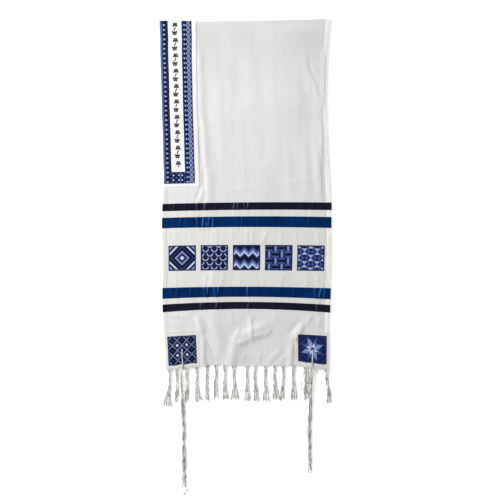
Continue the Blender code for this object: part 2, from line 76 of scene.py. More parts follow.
# %% The laid outline: how each line across the cloth lies
# For places along the cloth: X of both side edges, and how far they hang below the middle.
OUTLINE = {
    "along": (0, 119, 239, 359, 491, 549, 619, 674, 800, 866, 944, 1037),
    "left_x": (
        -258.9, -255.9, -252.9, -249.6, -246.9, -249.6,
        -249.9, -248.4, -248.7, -248.1, -243.9, -237.9,
    ),
    "right_x": (253.5, 246.6, 245.4, 248.1, 255.0, 256.5, 257.1, 257.7, 254.1, 251.7, 251.1, 249.9),
    "left_drop": (1.2, 1.5, 1.8, 2.4, 3.6, 4.8, 3.9, 3.0, 3.9, 10.2, 9.0, 8.4),
    "right_drop": (-6.3, -3.0, -1.5, -0.6, 0.0, 0.6, 3.0, 2.4, 4.8, 11.4, 9.6, 8.7),
}
# The upper hem isn't straight: the corners lie lower, and the cloth beside each patch is drawn up.
HEM_ACROSS = (0, 55, 104, 130, 160, 205, 300, 350, 382, 410, 450, 507)
HEM_DROP = (4.0, 0.6, -2.5, -6.5, -5.0, -3.0, -2.5, -3.6, -6.5, -3.5, -0.5, 1.0)
HEM_REACH = 112.0
EDGE_WAVER, EDGE_CELL = 0.7, 37.0
HEM_WAVER, HEM_CELL, HEM_WAVER_REACH = 1.7, 17.0, 77.0


def smooth_step(value):
    """0 below 0, 1 above 1, and an S-shaped ease between them."""
    value = np.clip(value, 0.0, 1.0)
    return value * value * (3 - 2 * value)


def smooth_curve(at, knots, values):
    """A cubic through the values, where each slope is taken from the neighbours."""
    knots, values = np.asarray(knots, float), np.asarray(values, float)
    slopes = np.gradient(values, knots)
    cell = np.clip(np.searchsorted(knots, at) - 1, 0, len(knots) - 2)
    span = knots[cell + 1] - knots[cell]
    u = (at - knots[cell]) / span
    start = (1 + 2 * u) * (1 - u) ** 2 * values[cell]
    end = u * u * (3 - 2 * u) * values[cell + 1]
    leave = u * (1 - u) ** 2 * span * slopes[cell]
    arrive = u * u * (u - 1) * span * slopes[cell + 1]
    return start + end + leave + arrive


def soft_noise(across, along, cell_across, cell_along, seed):
    """Hills from -1 to 1: random heights at the corners of cells, eased between them."""
    size = 256
    heights = np.random.default_rng(seed).uniform(-1, 1, (size, size))
    u, v = across / cell_across + 11.3, along / cell_along + 17.7
    i, j = np.floor(u).astype(int), np.floor(v).astype(int)
    u, v = smooth_step(u - i), smooth_step(v - j)

    def corner(right, down):
        return heights[(i + right) % size, (j + down) % size]

    near = corner(0, 0) * (1 - u) + corner(1, 0) * u
    far = corner(0, 1) * (1 - u) + corner(1, 1) * u
    return near * (1 - v) + far * v


def outline(across, along):
    """X and Y on the laid cloth: even steps between the two edges, on a slightly bowed line.
    The edges and the hem waver by a millimetre or two."""
    left, right, left_drop, right_drop = (
        smooth_curve(along, OUTLINE["along"], OUTLINE[name])
        for name in ("left_x", "right_x", "left_drop", "right_drop")
    )
    side = 2 * across / WIDTH - 1
    waver = EDGE_WAVER * side * soft_noise(side, along, 2, EDGE_CELL, 3)
    x = left + (right - left) * across / WIDTH + waver
    bow = (left_drop + right_drop) / 2 * side**2 + (right_drop - left_drop) / 2 * side
    at_hem = smooth_step((along - FRONT_LENGTH + HEM_WAVER_REACH) / HEM_WAVER_REACH)
    near_hem = smooth_step((along - FRONT_LENGTH + HEM_REACH) / HEM_REACH)
    hem = HEM_WAVER * at_hem * soft_noise(across, side, HEM_CELL, 2, 5)
    hem = hem + near_hem * smooth_curve(across, HEM_ACROSS, HEM_DROP)
    return x, FOLD_Y - along - bow - hem


# %% [markdown]
# ## Creases
#
# Cotton that has been folded and handled keeps soft ridges and troughs. A cloth simulation would
# give creases, but not these ones, so each is listed: a line from one place to another,
# with its height and the width of its two flanks. Unequal flanks give the sharp light side and
# long shadow side that real creases have. The big ones come first, and are in the solids too.

# %% Table of creases
Crease = namedtuple("Crease", "across along to_across to_along bow height left right")
CREASES = [
    Crease(*row)
    for row in (
        (118, 40, 120, 330, 2, 1.9, 7, 12),
        (121, 250, 131, 470, 2, 2.5, 6, 13),
        (131, 420, 134, 585, 3, 2.6, 6, 16),
        (339, 905, 205, 966, -8, 5.0, 12, 22),
        (215, 950, 186, 1060, 6, 4.5, 13, 20),
        (430, 893, 391, 962, 4, 4.2, 14, 8),
        (393, 945, 383, 1080, 3, 4.2, 14, 8),
        (101, 872, 117, 940, 3, 3.4, 9, 12),
        (116, 925, 115, 1070, 2, 3.4, 12, 7),
        (160, 600, 158, 980, 4, 2.6, 22, 30),
        (476, 40, 478, 540, 3, 2.0, 24, 16),
        (300, 380, 288, 620, 5, 1.8, 36, 46),
        (404, -60, 396, 360, 6, 5.0, 120, 52),
        (492, 60, 491, 300, 2, 2.2, 7, 5),
        (488, 280, 484, 420, 2, 1.6, 6, 6),
        (108, 335, 121, 450, 1, -1.6, 4, 3),
        (121, 440, 123, 505, 1, -1.8, 4, 3),
        (114, 484, 96, 542, 2, -1.4, 4, 5),
        (122, 492, 104, 552, 3, 1.6, 6, 5),
        (431, 70, 458, 240, 2, 1.3, 12, 6),
        (446, 140, 485, 246, 2, 1.5, 9, 5),
        (455, 128, 477, 158, 1, 1.0, 5, 4),
        (487, 415, 489, 545, 1, -1.8, 6, 4),
        (470, 380, 474, 560, 2, 1.4, 12, 6),
        (176, 513, 305, 495, 2, 0.7, 4, 5),
        (295, 497, 490, 470, 2, 0.7, 4, 5),
        (60, 130, 48, 420, 4, 0.9, 22, 26),
        (170, 120, 176, 470, 6, 1.1, 24, 18),
        (196, 60, 206, 380, 5, 0.9, 14, 20),
        (236, 200, 240, 560, 5, 1.0, 20, 14),
        (262, 40, 268, 330, 4, 0.8, 16, 22),
        (335, 120, 342, 500, 6, 1.1, 26, 18),
        (372, 300, 380, 560, 3, 1.0, 18, 12),
        (430, 330, 436, 560, 3, 1.2, 16, 10),
        (161, 612, 161, 676, 1, 1.3, 5, 4),
        (147, 622, 150, 672, 1, 0.8, 4, 4),
        (254, 616, 252, 678, 1, 1.1, 5, 3),
        (272, 618, 266, 676, 1, 1.0, 5, 3),
        (318, 620, 292, 678, 2, 1.5, 6, 4),
        (208, 618, 206, 660, 1, 0.7, 4, 4),
        (356, 622, 352, 676, 1, 0.8, 5, 4),
        (398, 620, 402, 672, 1, 0.9, 5, 4),
        (462, 616, 470, 680, 1, 1.0, 5, 4),
        (40, 622, 38, 670, 1, 0.8, 5, 5),
        (80, 620, 84, 664, 1, 0.7, 4, 5),
        (130, 750, 126, 800, 1, 1.0, 5, 4),
        (150, 748, 148, 802, 1, 1.4, 6, 4),
        (182, 752, 178, 800, 1, 1.0, 5, 4),
        (230, 752, 232, 800, 1, 0.7, 5, 4),
        (300, 752, 304, 800, 1, 0.8, 5, 4),
        (362, 752, 356, 800, 1, 0.8, 5, 4),
        (430, 754, 436, 800, 1, 0.9, 5, 4),
        (463, 750, 476, 802, 1, 1.3, 5, 3),
        (478, 748, 484, 802, 1, 1.2, 4, 3),
        (488, 750, 494, 796, 1, 1.0, 4, 3),
        (36, 752, 42, 798, 1, 0.8, 5, 4),
        (142, 872, 172, 1010, 4, 2.5, 12, 18),
        (118, 918, 153, 1020, 2, -1.8, 6, 7),
        (266, 876, 267, 958, 1, 3.2, 7, 5),
        (236, 915, 203, 966, 2, 3.0, 7, 6),
        (203, 962, 262, 956, -4, 3.6, 9, 7),
        (250, 957, 320, 936, 3, 3.0, 8, 9),
        (330, 918, 306, 946, 1, 2.2, 5, 5),
        (424, 888, 374, 938, 2, -2.0, 7, 6),
        (400, 945, 388, 1060, 2, -1.4, 4, 4),
        (310, 1040, 366, 978, 3, 1.5, 7, 8),
        (340, 1046, 380, 1000, 2, 1.2, 6, 6),
        (284, 1040, 300, 985, 2, 1.0, 7, 7),
        (236, 1040, 246, 990, 2, 1.2, 8, 8),
        (12, 872, 88, 888, 2, 1.4, 5, 6),
        (20, 895, 70, 908, 1, 0.9, 5, 5),
        (97, 880, 112, 922, 1, 1.3, 5, 5),
        (330, 870, 352, 905, 2, 1.2, 7, 9),
        (200, 868, 214, 912, 2, 1.2, 9, 7),
        (455, 868, 430, 905, 2, 1.8, 8, 6),
        (478, 872, 470, 915, 2, 1.2, 7, 5),
    )
]

# A crease rises and falls over this share of its length.
CREASE_EASE = 0.3125


def crease_height(crease, across, along):
    """A ridge: exp(-(distance / flank)^2) off a bowed line, easing in and out at its two ends."""
    run = np.array([crease.to_across - crease.across, crease.to_along - crease.along], float)
    length = np.hypot(*run)
    away, down = across - crease.across, along - crease.along
    share = np.clip((away * run[0] + down * run[1]) / length**2, 0.0, 1.0)
    side = (away * run[1] - down * run[0]) / length
    side = side - crease.bow * 4 * share * (1 - share)
    flank = np.where(side > 0, crease.right, crease.left)
    ends = smooth_step(np.minimum(share, 1 - share) / CREASE_EASE)
    return crease.height * ends * np.exp(-((side / flank) ** 2))


print(len(CREASES), "creases")

# %% [markdown]
# ## Where the sewn pieces lie
#
# What is sewn on changes how the cloth lies: ribbons gather it, and the neckband's lower half
# lifts it. So these places come before the cloth's smaller relief.

# %% Places of the sewn pieces
# Each ribbon's upper and lower edge, along the cloth.
RIBBONS = {
    "ribbon_navy_upper": (546.5, 568.5),
    "ribbon_blue_upper": (588.5, 620.3),
    "ribbon_blue_lower": (799.5, 829.5),
    "ribbon_navy_lower": (845.0, 866.0),
}
# The neckband's parts end at these places across, and reach this far along from the fold.
OUTER_END, PANEL_END, INNER_END, GROUND_END = 25.0, 66.0, 95.0, 110.0
PANEL_REACH, BORDER_REACH, GROUND_REACH = 453.0, 487.5, 497.0
SQUARE_WIDTH, SQUARE_HEIGHT = 82.0, 76.0
SQUARE_STARTS = [17.0 + 96.7 * number for number in range(5)]
SQUARE_TOP = 674.0
PATCH_WIDTH, PATCH_HEIGHT, PATCH_EDGE = 104.0, 111.0, 2.0
CORNER_WIDTH, CORNER_HEIGHT, CORNER_SIDE = 88.0, 85.0, 8.5
CORNER_HEM = {"left": 11.0, "right": 14.0}
EYELET_SIDE, EYELET_HEM, EYELET_RADIUS = 52.0, 56.0, 3.6
SIDE_HEM = 13.0
# Heights of a sewn piece's two faces above the cloth's middle: on the cloth, or on another piece.
LEVEL_1 = (0.55, 1.15)
LEVEL_2 = (1.22, 1.85)
UNDER_LIFT, UNDER_EASE = 1.45, 50.0

# %% [markdown]
# ## Gathers and small waves
#
# A ribbon is sewn with a slightly tight thread, so it and the cloth beside it gather into small
# upright tucks. Each is a ridge at a place in the table below, which changes quickly across and
# hardly along. Faint waves run between them, and all die out a centimetre or two from the ribbon.

# %% Gathers and waves
# Each ribbon's tucks from the left: the place across, and the height.
GATHERS = {
    "ribbon_navy_upper": (
        (36, 0.5), (70, 0.5), (107, 1.7), (130, 1.5), (160, 0.5), (218, 1.2), (228, 1.1),
        (250, 1.0), (259, 1.2), (420, 0.5), (452, 0.6),
    ),
    "ribbon_blue_upper": (
        (56, 0.5), (74, 0.4), (108, 1.9), (125, 1.6), (133, 1.2), (141, 2.0), (155, 1.0),
        (226, 0.6), (241, 0.5), (289, 0.5), (440, 0.6),
    ),
    "ribbon_blue_lower": (
        (46, 0.6), (88, 0.5), (129, 1.8), (137, 1.3), (160, 1.7), (168, 1.2), (259, 1.4),
        (352, 0.5), (398, 0.6), (463, 1.5), (478, 1.8), (491, 1.5),
    ),
    "ribbon_navy_lower": (
        (70, 0.5), (118, 1.3), (128, 1.5), (166, 1.4), (180, 0.8), (262, 1.2), (338, 0.5),
        (420, 0.6), (470, 1.3),
    ),
}
# Tucks lean by up to twice this much, in millimetres across for each one along.
TUCK_LEAN = 0.09
# In the cloth beside a ribbon: a tuck's two flanks, its share of the height above, the height of
# the faint waves, and how far from the ribbon they all reach.
CLOTH_FLANKS = (3.4, 3.0)
CLOTH_TUCKS, CLOTH_PUCKERS = 0.5, 0.2
PUCKER_REACH = 12.0
# The cloth's own waves: height, width and length.
WAVES = ((0.8, 62, 230), (0.19, 17, 120), (0.09, 8, 46), (0.10, 15, 12))
HEM_STEP, HEM_GROOVE, HEM_GATHER = 0.5, 0.35, 0.35
EYELET_RISE, EYELET_RISE_REACH = 3.0, 45.0
EDGE_EASE, FOLD_EASE, LEAST_GAP = 40.0, 36.0, 0.12


def tucks(name, across, along, left, right):
    """The gathers of one ribbon: at each place in the table a ridge, exp(-(distance / flank)^2),
    of the height given there. They lean this way and that, in a repeating order."""
    centre = sum(RIBBONS[name]) / 2
    total = 0.0
    for number, (place, height) in enumerate(GATHERS[name]):
        lean = ((number * 7) % 5 - 2) * TUCK_LEAN
        side = across - place - lean * (along - centre)
        total = total + height * np.exp(-((side / np.where(side > 0, right, left)) ** 2))
    return total


def puckers(across, along):
    """The cloth's share in the gathers: faint waves, and the tucks at half height, which die out
    a centimetre or two from the ribbon."""
    total = np.zeros(np.broadcast(across, along).shape)
    waves = soft_noise(across, along, 5.5, 70, 21) + 0.7 * soft_noise(across, along, 11, 90, 22)
    for name, (first, last) in RIBBONS.items():
        outside = np.maximum(np.maximum(first - along, along - last), 0.0)
        near = np.exp(-((outside / PUCKER_REACH) ** 2))
        ridges = tucks(name, across, along, *CLOTH_FLANKS)
        total = total + near * (CLOTH_PUCKERS * waves + CLOTH_TUCKS * ridges)
    return total


def small_waves(across, along):
    """The cloth's own unevenness: long upright swells, with finer and fainter ones on them."""
    return sum(
        height * soft_noise(across, along, width, length, 31 + number)
        for number, (height, width, length) in enumerate(WAVES)
    )


def turned_hems(across, along):
    """The side hems are turned in twice, so they stand up by a wall, with a stitched groove. The
    left one shows only below the neckband."""
    reach = 9.0
    right = across - (WIDTH - SIDE_HEM)
    left = np.where(along > GROUND_REACH, SIDE_HEM - across, -reach)
    inside = np.maximum(right, left)
    step = HEM_STEP * smooth_step(inside / 1.6 + 0.5)
    groove = HEM_GROOVE * np.exp(-(((inside + 0.6) / 1.5) ** 2))
    gathers = HEM_GATHER * soft_noise(along, across, 7.5, 40, 41)
    return step - groove + gathers * smooth_step((inside + reach) / reach)


def eyelet_rise(across, along):
    """The corners lie a little higher, over the tassels' loops: a bump that runs to the hem."""
    total = 0.0
    for place in (EYELET_SIDE, WIDTH - EYELET_SIDE):
        down = np.maximum(FRONT_LENGTH - EYELET_HEM - along, 0.0)
        away = ((across - place) ** 2 + down**2) / EYELET_RISE_REACH**2
        total = total + EYELET_RISE * np.exp(-away)
    return total


def relief(across, along):
    """Everything that lifts the upper half, calm at the fold and kept just off the lower half."""
    creases = sum(crease_height(crease, across, along) for crease in CREASES)
    from_edge = np.minimum(across, WIDTH - across)
    inward = smooth_step(from_edge / EDGE_EASE) * smooth_step((FRONT_LENGTH - along) / EDGE_EASE)
    raised = LOFT * inward + creases + small_waves(across, along) + puckers(across, along)
    raised = np.maximum(raised, eyelet_rise(across, along) + creases / 4)
    raised = raised * smooth_step(along / FOLD_EASE)
    raised = raised + turned_hems(across, along) * smooth_step(along / 8)
    lowest = LEAST_GAP - LAYER_GAP
    return np.where(raised > 0, raised, lowest * np.tanh(raised / lowest))


def under_lift(across, along):
    """How far the neckband's lower half, flat under the cloth, lifts both layers."""
    past_side = (across - INNER_END - 1) / UNDER_EASE
    past_end = (np.abs(along) - GROUND_REACH) / UNDER_EASE
    return UNDER_LIFT * (1 - smooth_step(past_side)) * (1 - smooth_step(past_end))


def cloth_middle(across, along):
    """The folded cloth's middle: two layers, which a half circle joins at the fold."""
    flat_along = np.maximum(np.abs(along) - ROLL_HALF, 0.0)
    x, y = outline(across, flat_along)
    low = SOLID_WALL / 2 + under_lift(across, flat_along)
    roll = ROLL_EXTRA * np.exp(-((flat_along / ROLL_REACH) ** 2))
    high = low + SOLID_WALL + LAYER_GAP + roll + relief(across, flat_along)
    centre, radius = (high + low) / 2, (high - low) / 2
    angle = np.clip(along / ROLL_HALF, -1.0, 1.0) * np.pi / 2
    x = x - BACK_INSET * smooth_step(-along / BACK_INSET_REACH) * (2 * across / WIDTH - 1)
    y = y + radius * np.cos(angle)
    return np.stack(np.broadcast_arrays(x, y, centre + radius * np.sin(angle)), axis=-1)


def surface(across, along):
    """The cloth's middle and its unit normal there: the cross product of its two slopes."""
    across, along = np.broadcast_arrays(np.asarray(across, float), np.asarray(along, float))
    step = 0.6
    down = cloth_middle(across, along + step) - cloth_middle(across, along - step)
    right = cloth_middle(across + step, along) - cloth_middle(across - step, along)
    normal = np.cross(down, right)
    normal /= np.linalg.norm(normal, axis=-1, keepdims=True)
    return cloth_middle(across, along), normal


def on_cloth(across, along, lift):
    """Points that far above the cloth's middle, along its normal."""
    middle, normal = surface(across, along)
    return middle + normal * np.broadcast_to(lift, middle.shape[:-1])[..., None]


print("the cloth's middle at its centre:", on_cloth(WIDTH / 2, 500.0, 0.0).round(2))

# %% [markdown]
# ## From arrays to pieces
#
# Every piece is a grid or a tube of points worked out as whole arrays, then handed to Blender in
# one go. A sewn piece is a closed wall: an upper and a lower grid joined round the rim, and round
# an eyelet where it has one. Its places on the cloth are kept as UVs in metres, so that a weave
# can follow the cloth, and stitched pieces also keep a colour for each point.

# %% Make a mesh and hand it to the frame
RIM_ANGLE = np.radians(42)
# The block of cells left open for an eyelet, as a share of its radius.
HOLE_BLOCK = 0.8
# Stitching and tucks reach their full height this far from the fold.
RELIEF_START = 12.0


def add_piece(name, points, faces, material, replaces=(), uv=None, colours=None, sharp=False):
    """An object from points in millimetres, which rides on the shawl's only body. A cut edge is
    sharp, so that its shading doesn't spread over the flat cloth beside it."""
    mesh = bpy.data.meshes.new(name)
    mesh.from_pydata((np.asarray(points) * MM).tolist(), [], faces)
    corners = np.empty(len(mesh.loops), np.int32)
    mesh.loops.foreach_get("vertex_index", corners)
    if uv is not None:
        layer = mesh.uv_layers.new(name="UVMap")
        layer.data.foreach_set("uv", (np.asarray(uv) * MM)[corners].astype(np.float32).ravel())
    if colours is not None:
        attribute = mesh.color_attributes.new("Thread", "FLOAT_COLOR", "POINT")
        attribute.data.foreach_set("color", np.asarray(colours, np.float32).ravel())
    mesh.shade_smooth()
    if sharp:
        mesh.set_sharp_from_angle(angle=RIM_ANGLE)
    mesh.materials.append(material)
    piece = bpy.data.objects.new(name, mesh)
    bpy.context.scene.collection.objects.link(piece)
    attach(piece, "root")
    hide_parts(*replaces)
    return piece


def wall_faces(shape, gaps=()):
    """Faces of a closed wall between two grids. Each gap is a block of cells left open."""
    rows, columns = shape
    index = np.arange(rows * columns).reshape(rows, columns)
    quads = np.stack([index[:-1, :-1], index[1:, :-1], index[1:, 1:], index[:-1, 1:]], axis=-1)
    keep = np.ones(quads.shape[:2], bool)
    edges = [(index, 1)]
    for top, bottom, left, right in gaps:
        keep[top:bottom, left:right] = False
        edges.append((index[top : bottom + 1, left : right + 1], -1))
    skin = quads[keep]
    lift = rows * columns
    faces = [skin + lift, skin[:, ::-1]]
    for grid, turn in edges:
        rim = np.concatenate([grid[0, :-1], grid[:-1, -1], grid[-1, :0:-1], grid[:0:-1, 0]])[::turn]
        onward = np.roll(rim, -1)
        faces.append(np.stack([rim + lift, onward + lift, onward, rim], axis=-1))
    return np.concatenate(faces)


def lines(first, last, step, marks=()):
    """Evenly spaced grid lines, with extra ones at the marks in place of those close by."""
    even = np.linspace(first, last, max(2, round((last - first) / step) + 1))
    for mark in marks:
        spare = (np.abs(even - mark) < 0.45 * step) & (even > first) & (even < last)
        even = even[~spare]
    return np.unique(np.concatenate([even, marks]))


def open_hole(across, along, centre, radius):
    """Pulls the grid round a square block of cells onto a circle, and names the block."""
    block = HOLE_BLOCK * radius
    away, down = across - centre[0], along - centre[1]
    square = np.maximum(np.abs(away), np.abs(down)) / block
    blend = 1 - smooth_step((square - 1) / 2)
    reach = np.maximum(np.hypot(away, down), 1e-9)
    across = across + blend * away * (radius * square / reach - 1)
    along = along + blend * down * (radius * square / reach - 1)
    inside_rows = np.flatnonzero((square <= 1 + 1e-6).any(axis=1))
    inside_columns = np.flatnonzero((square <= 1 + 1e-6).any(axis=0))
    return across, along, (inside_rows[0], inside_rows[-1], inside_columns[0], inside_columns[-1])


def eyelet_marks(centre):
    """Five grid lines each way round an eyelet."""
    steps = HOLE_BLOCK * EYELET_RADIUS * np.array([-1, -0.5, 0, 0.5, 1])
    return [(place + steps).tolist() for place in centre]


def sewn_layer(name, columns, rows, lifts, material, replaces=(), paint=None, eyelets=()):
    """A closed wall on the cloth between two lifts. paint gives colours and relief by place. The
    relief is for the upper half only, because the lower one is pressed flat."""
    across, along = np.meshgrid(columns, rows)
    gaps = []
    for centre in eyelets:
        across, along, gap = open_hole(across, along, centre, EYELET_RADIUS)
        gaps.append(gap)
    low, high = lifts
    colours = None
    if paint:
        colour, rise = paint(across, along)
        high = high + rise * smooth_step(along / RELIEF_START)
        colours = None if colour is None else np.concatenate([colour.reshape(-1, 4)] * 2)
    middle, normal = surface(across, along)
    high = np.broadcast_to(high, across.shape)[..., None]
    points = np.concatenate([middle + normal * low, middle + normal * high]).reshape(-1, 3)
    place = np.concatenate([np.stack([across, along], axis=-1).reshape(-1, 2)] * 2)
    used, faces = np.unique(wall_faces(across.shape, gaps), return_inverse=True)
    faces = faces.reshape(-1, 4)
    colours = None if colours is None else colours[used]
    piece = add_piece(
        name, points[used], faces.tolist(), material, replaces, place[used], colours, sharp=True
    )
    print(f"{name}: {2 * len(faces)} triangles")
    return piece


# %% Tubes for cords, threads and stitches
def tube(path, radius, sides=6, lobes=0, lobe_depth=0.0, pitch=1.0, away=(0, 0, 1), closed=False):
    """Points and faces of a tube. Each ring is a circle across the path, and lobes that turn
    along it by one turn for each pitch make it look like twisted plies."""
    path = np.asarray(path, float)
    ahead = np.gradient(path, axis=0)
    if closed:
        ahead = np.roll(path, -1, axis=0) - np.roll(path, 1, axis=0)
    ahead /= np.linalg.norm(ahead, axis=1, keepdims=True)
    side = np.cross(ahead, np.asarray(away, float))
    side /= np.linalg.norm(side, axis=1, keepdims=True)
    up = np.cross(side, ahead)
    steps = np.linalg.norm(np.diff(path, axis=0), axis=1)
    travelled = np.concatenate([[0.0], np.cumsum(steps)])[:, None]
    turn = np.arange(sides)[None, :] * 2 * np.pi / sides
    lobe = 1 + lobe_depth * np.cos(lobes * turn - 2 * np.pi * travelled / pitch)
    reach = (np.broadcast_to(radius, len(path))[:, None] * lobe)[..., None]
    ring = np.cos(turn)[..., None] * side[:, None] + np.sin(turn)[..., None] * up[:, None]
    points = (path[:, None] + reach * ring).reshape(-1, 3)
    index = np.arange(len(path) * sides).reshape(len(path), sides)
    beside = np.roll(index, -1, axis=1)
    if closed:
        onward, diagonal = np.roll(index, -1, axis=0), np.roll(beside, -1, axis=0)
        skin = np.stack([index, onward, diagonal, beside], axis=-1)
        return points, skin.reshape(-1, 4).tolist()
    skin = np.stack([index[:-1], index[1:], beside[1:], beside[:-1]], axis=-1).reshape(-1, 4)
    return points, skin.tolist() + [index[0].tolist(), index[-1, ::-1].tolist()]


def add_parts(name, parts, material, replaces=()):
    """One piece of many tubes or walls, joined as arrays."""
    points, faces, start = [], [], 0
    for part_points, part_faces in parts:
        points.append(part_points)
        faces += [[start + corner for corner in face] for face in part_faces]
        start += len(part_points)
    piece = add_piece(name, np.concatenate(points), faces, material, replaces)
    print(f"{name}: {len(parts)} parts, {len(faces)} faces")
    return piece


# %% [markdown]
# ## Colours and material nodes
#
# A screen colour is written as a hex code and turned to the linear light that a shader works in.
# One function adds any node, so each material below reads as a short recipe.

# %% Colour and node helpers
def linear(code):
    """An sRGB hex colour as linear red, green, blue and alpha."""
    srgb = np.array([int(code[i : i + 2], 16) for i in (1, 3, 5)]) / 255
    light = np.where(srgb <= 0.04045, srgb / 12.92, ((srgb + 0.055) / 1.055) ** 2.4)
    return (*light.tolist(), 1.0)


def add(tree, kind, sockets=None, **settings):
    """Adds a node, sets its properties, then fills its sockets with links or values."""
    made = tree.nodes.new(kind)
    for name, value in settings.items():
        setattr(made, name, value)
    for socket, value in (sockets or {}).items():
        if isinstance(value, bpy.types.NodeSocket):
            tree.links.new(value, made.inputs[socket])
        else:
            made.inputs[socket].default_value = value
    return made


def start_material(name, values):
    """A Principled material with these socket values, with its node tree and its shader."""
    made = bpy.data.materials.new(name)
    made.use_nodes = True
    shader = made.node_tree.nodes["Principled BSDF"]
    for socket, value in values.items():
        shader.inputs[socket].default_value = value
    return made, made.node_tree, shader


def add_bumps(tree, shader, bumps):
    """Chains bump nodes, coarse first. Each has a height, and its depth in millimetres."""
    normal = None
    for height, depth in bumps:
        sockets = {"Height": height, "Strength": 1.0, "Distance": depth * MM}
        if normal:
            sockets["Normal"] = normal
        normal = add(tree, "ShaderNodeBump", sockets).outputs["Normal"]
    tree.links.new(normal, shader.inputs["Normal"])


def plain_weave(tree, pitch, direction="both"):
    """Threads of that pitch in millimetres, over the piece's UVs: the sine across the threads,
    times the sine along them for a plain weave's over and under."""
    place = add(tree, "ShaderNodeUVMap", uv_map="UVMap")
    split = add(tree, "ShaderNodeSeparateXYZ", {"Vector": place.outputs["UV"]})
    waves = []
    for axis in ("X", "Y"):
        sockets = {0: split.outputs[axis], 1: np.pi / (pitch * MM)}
        turns = add(tree, "ShaderNodeMath", sockets, operation="MULTIPLY")
        wave = add(tree, "ShaderNodeMath", {0: turns.outputs[0]}, operation="SINE")
        waves.append(wave.outputs[0])
    if direction != "both":
        return waves["xy".index(direction)]
    return add(tree, "ShaderNodeMath", {0: waves[0], 1: waves[1]}, operation="MULTIPLY").outputs[0]


def cloudy(tree, size, stretch=(1, 1, 1), detail=3.0):
    """Noise whose clouds are about that many millimetres wide, stretched as asked."""
    place = add(tree, "ShaderNodeTexCoord").outputs["Object"]
    scaled = add(tree, "ShaderNodeMapping", {"Vector": place, "Scale": stretch})
    sockets = {
        "Vector": scaled.outputs[0],
        "Scale": 1 / (size * MM),
        "Detail": detail,
        "Roughness": 0.55,
    }
    return add(tree, "ShaderNodeTexNoise", sockets).outputs["Fac"]


def mean(tree, first, second):
    """The mean of two patterns."""
    total = add(tree, "ShaderNodeMath", {0: first, 1: second}, operation="ADD")
    half = add(tree, "ShaderNodeMath", {0: total.outputs[0], 1: 0.5}, operation="MULTIPLY")
    return half.outputs[0]


def tint(tree, factor, dark, light, low=0.3, high=0.7):
    """A colour between two, by where the factor lies between low and high."""
    ramp = add(tree, "ShaderNodeValToRGB", {"Fac": factor})
    for stop, position, code in zip(ramp.color_ramp.elements, (low, high), (dark, light)):
        stop.position = position
        stop.color = linear(code)
    return ramp.outputs["Color"]


# %% [markdown]
# ## Fabrics and yarns
#
# The shawl is bleached cotton in a plain weave: matt, slightly uneven, with threads half a
# millimetre apart. The weave is drawn at 1.3 mm, because finer would vanish at this distance.
# The ribbons are taffeta. Its smooth filament yarn shines, so each gather catches the light.
# The embroidery is satin stitch in rayon, with a silky sheen along its parallel threads.

# %% Cotton
def along_band(tree, axis, first, last, blur):
    """1 between two places in millimetres along or across the cloth, and 0 outside them."""
    place = add(tree, "ShaderNodeUVMap", uv_map="UVMap")
    split = add(tree, "ShaderNodeSeparateXYZ", {"Vector": place.outputs["UV"]})
    edges = []
    for edge, low, high in ((first, 0.0, 1.0), (last, 1.0, 0.0)):
        sockets = {
            "Value": split.outputs[axis],
            "From Min": (edge - blur) * MM,
            "From Max": (edge + blur) * MM,
            "To Min": low,
            "To Max": high,
        }
        edges.append(add(tree, "ShaderNodeMapRange", sockets).outputs["Result"])
    return add(tree, "ShaderNodeMath", {0: edges[0], 1: edges[1]}, operation="MULTIPLY").outputs[0]


def make_cotton(name, dark, light, weave=1.3, depth=0.05, washes=()):
    """Bleached plain-weave cotton: faint clouds of tone, slubs along the warp, and the weave.
    Each wash blends another tone in between two places on the cloth."""
    values = {"Roughness": 0.9, "Sheen Weight": 0.12, "Sheen Roughness": 0.5, "IOR": 1.46}
    made, tree, shader = start_material(name, values)
    slubs = cloudy(tree, 2.2, (1, 0.06, 1), 2.0)
    clouds = cloudy(tree, 60, (1, 0.5, 1), 3.0)
    colour = tint(tree, mean(tree, slubs, clouds), dark, light, 0.38, 0.6)
    for axis, first, last, blur, code in washes:
        sockets = {"Factor": along_band(tree, axis, first, last, blur), 6: colour, 7: linear(code)}
        wash = add(tree, "ShaderNodeMix", sockets, data_type="RGBA", blend_type="MULTIPLY")
        colour = wash.outputs[2]
    tree.links.new(colour, shader.inputs["Base Color"])
    crinkle = cloudy(tree, 6, (1, 0.5, 1), 3.0)
    add_bumps(tree, shader, [(crinkle, 0.4), (slubs, 0.12), (plain_weave(tree, weave), depth)])
    return made


# The single cloth is a little greyer than its double side hem, and greyest near the fold. A thin
# shadow follows the hem's stitching and its edge, and the band with the squares is creamier. Each
# row has the axis of the UVs, the two places in millimetres, how soft the edge is, and the tone.
WASHES = (
    ("Y", 569.0, 845.0, 1.5, "#FFFEFA"),
    ("Y", -1100.0, 150.0, 70.0, "#F6F5F5"),
    ("X", -30.0, 492.0, 1.0, "#E9EAEA"),
    ("X", 110.0, 480.0, 30.0, "#FDFCFD"),
    ("X", 490.0, 492.6, 0.9, "#F6F5F4"),
    ("X", 503.2, 504.6, 0.8, "#E6E4E1"),
)
COTTON = make_cotton(
    "bleached_cotton_plain_weave", "#F3F2F1", "#F9F8F6", washes=WASHES
)
# The neckband's turned edge has a line of shade beside the cloth.
SATIN = make_cotton(
    "neckband_cotton_satin",
    "#EAE9E5",
    "#F2F1EE",
    weave=0.9,
    depth=0.02,
    washes=(("X", 107.9, 113.0, 0.7, "#DFDBD5"),),
)
PATCH_COTTON = make_cotton("corner_patch_cotton", "#DDDAD2", "#E7E5DF", weave=1.1)


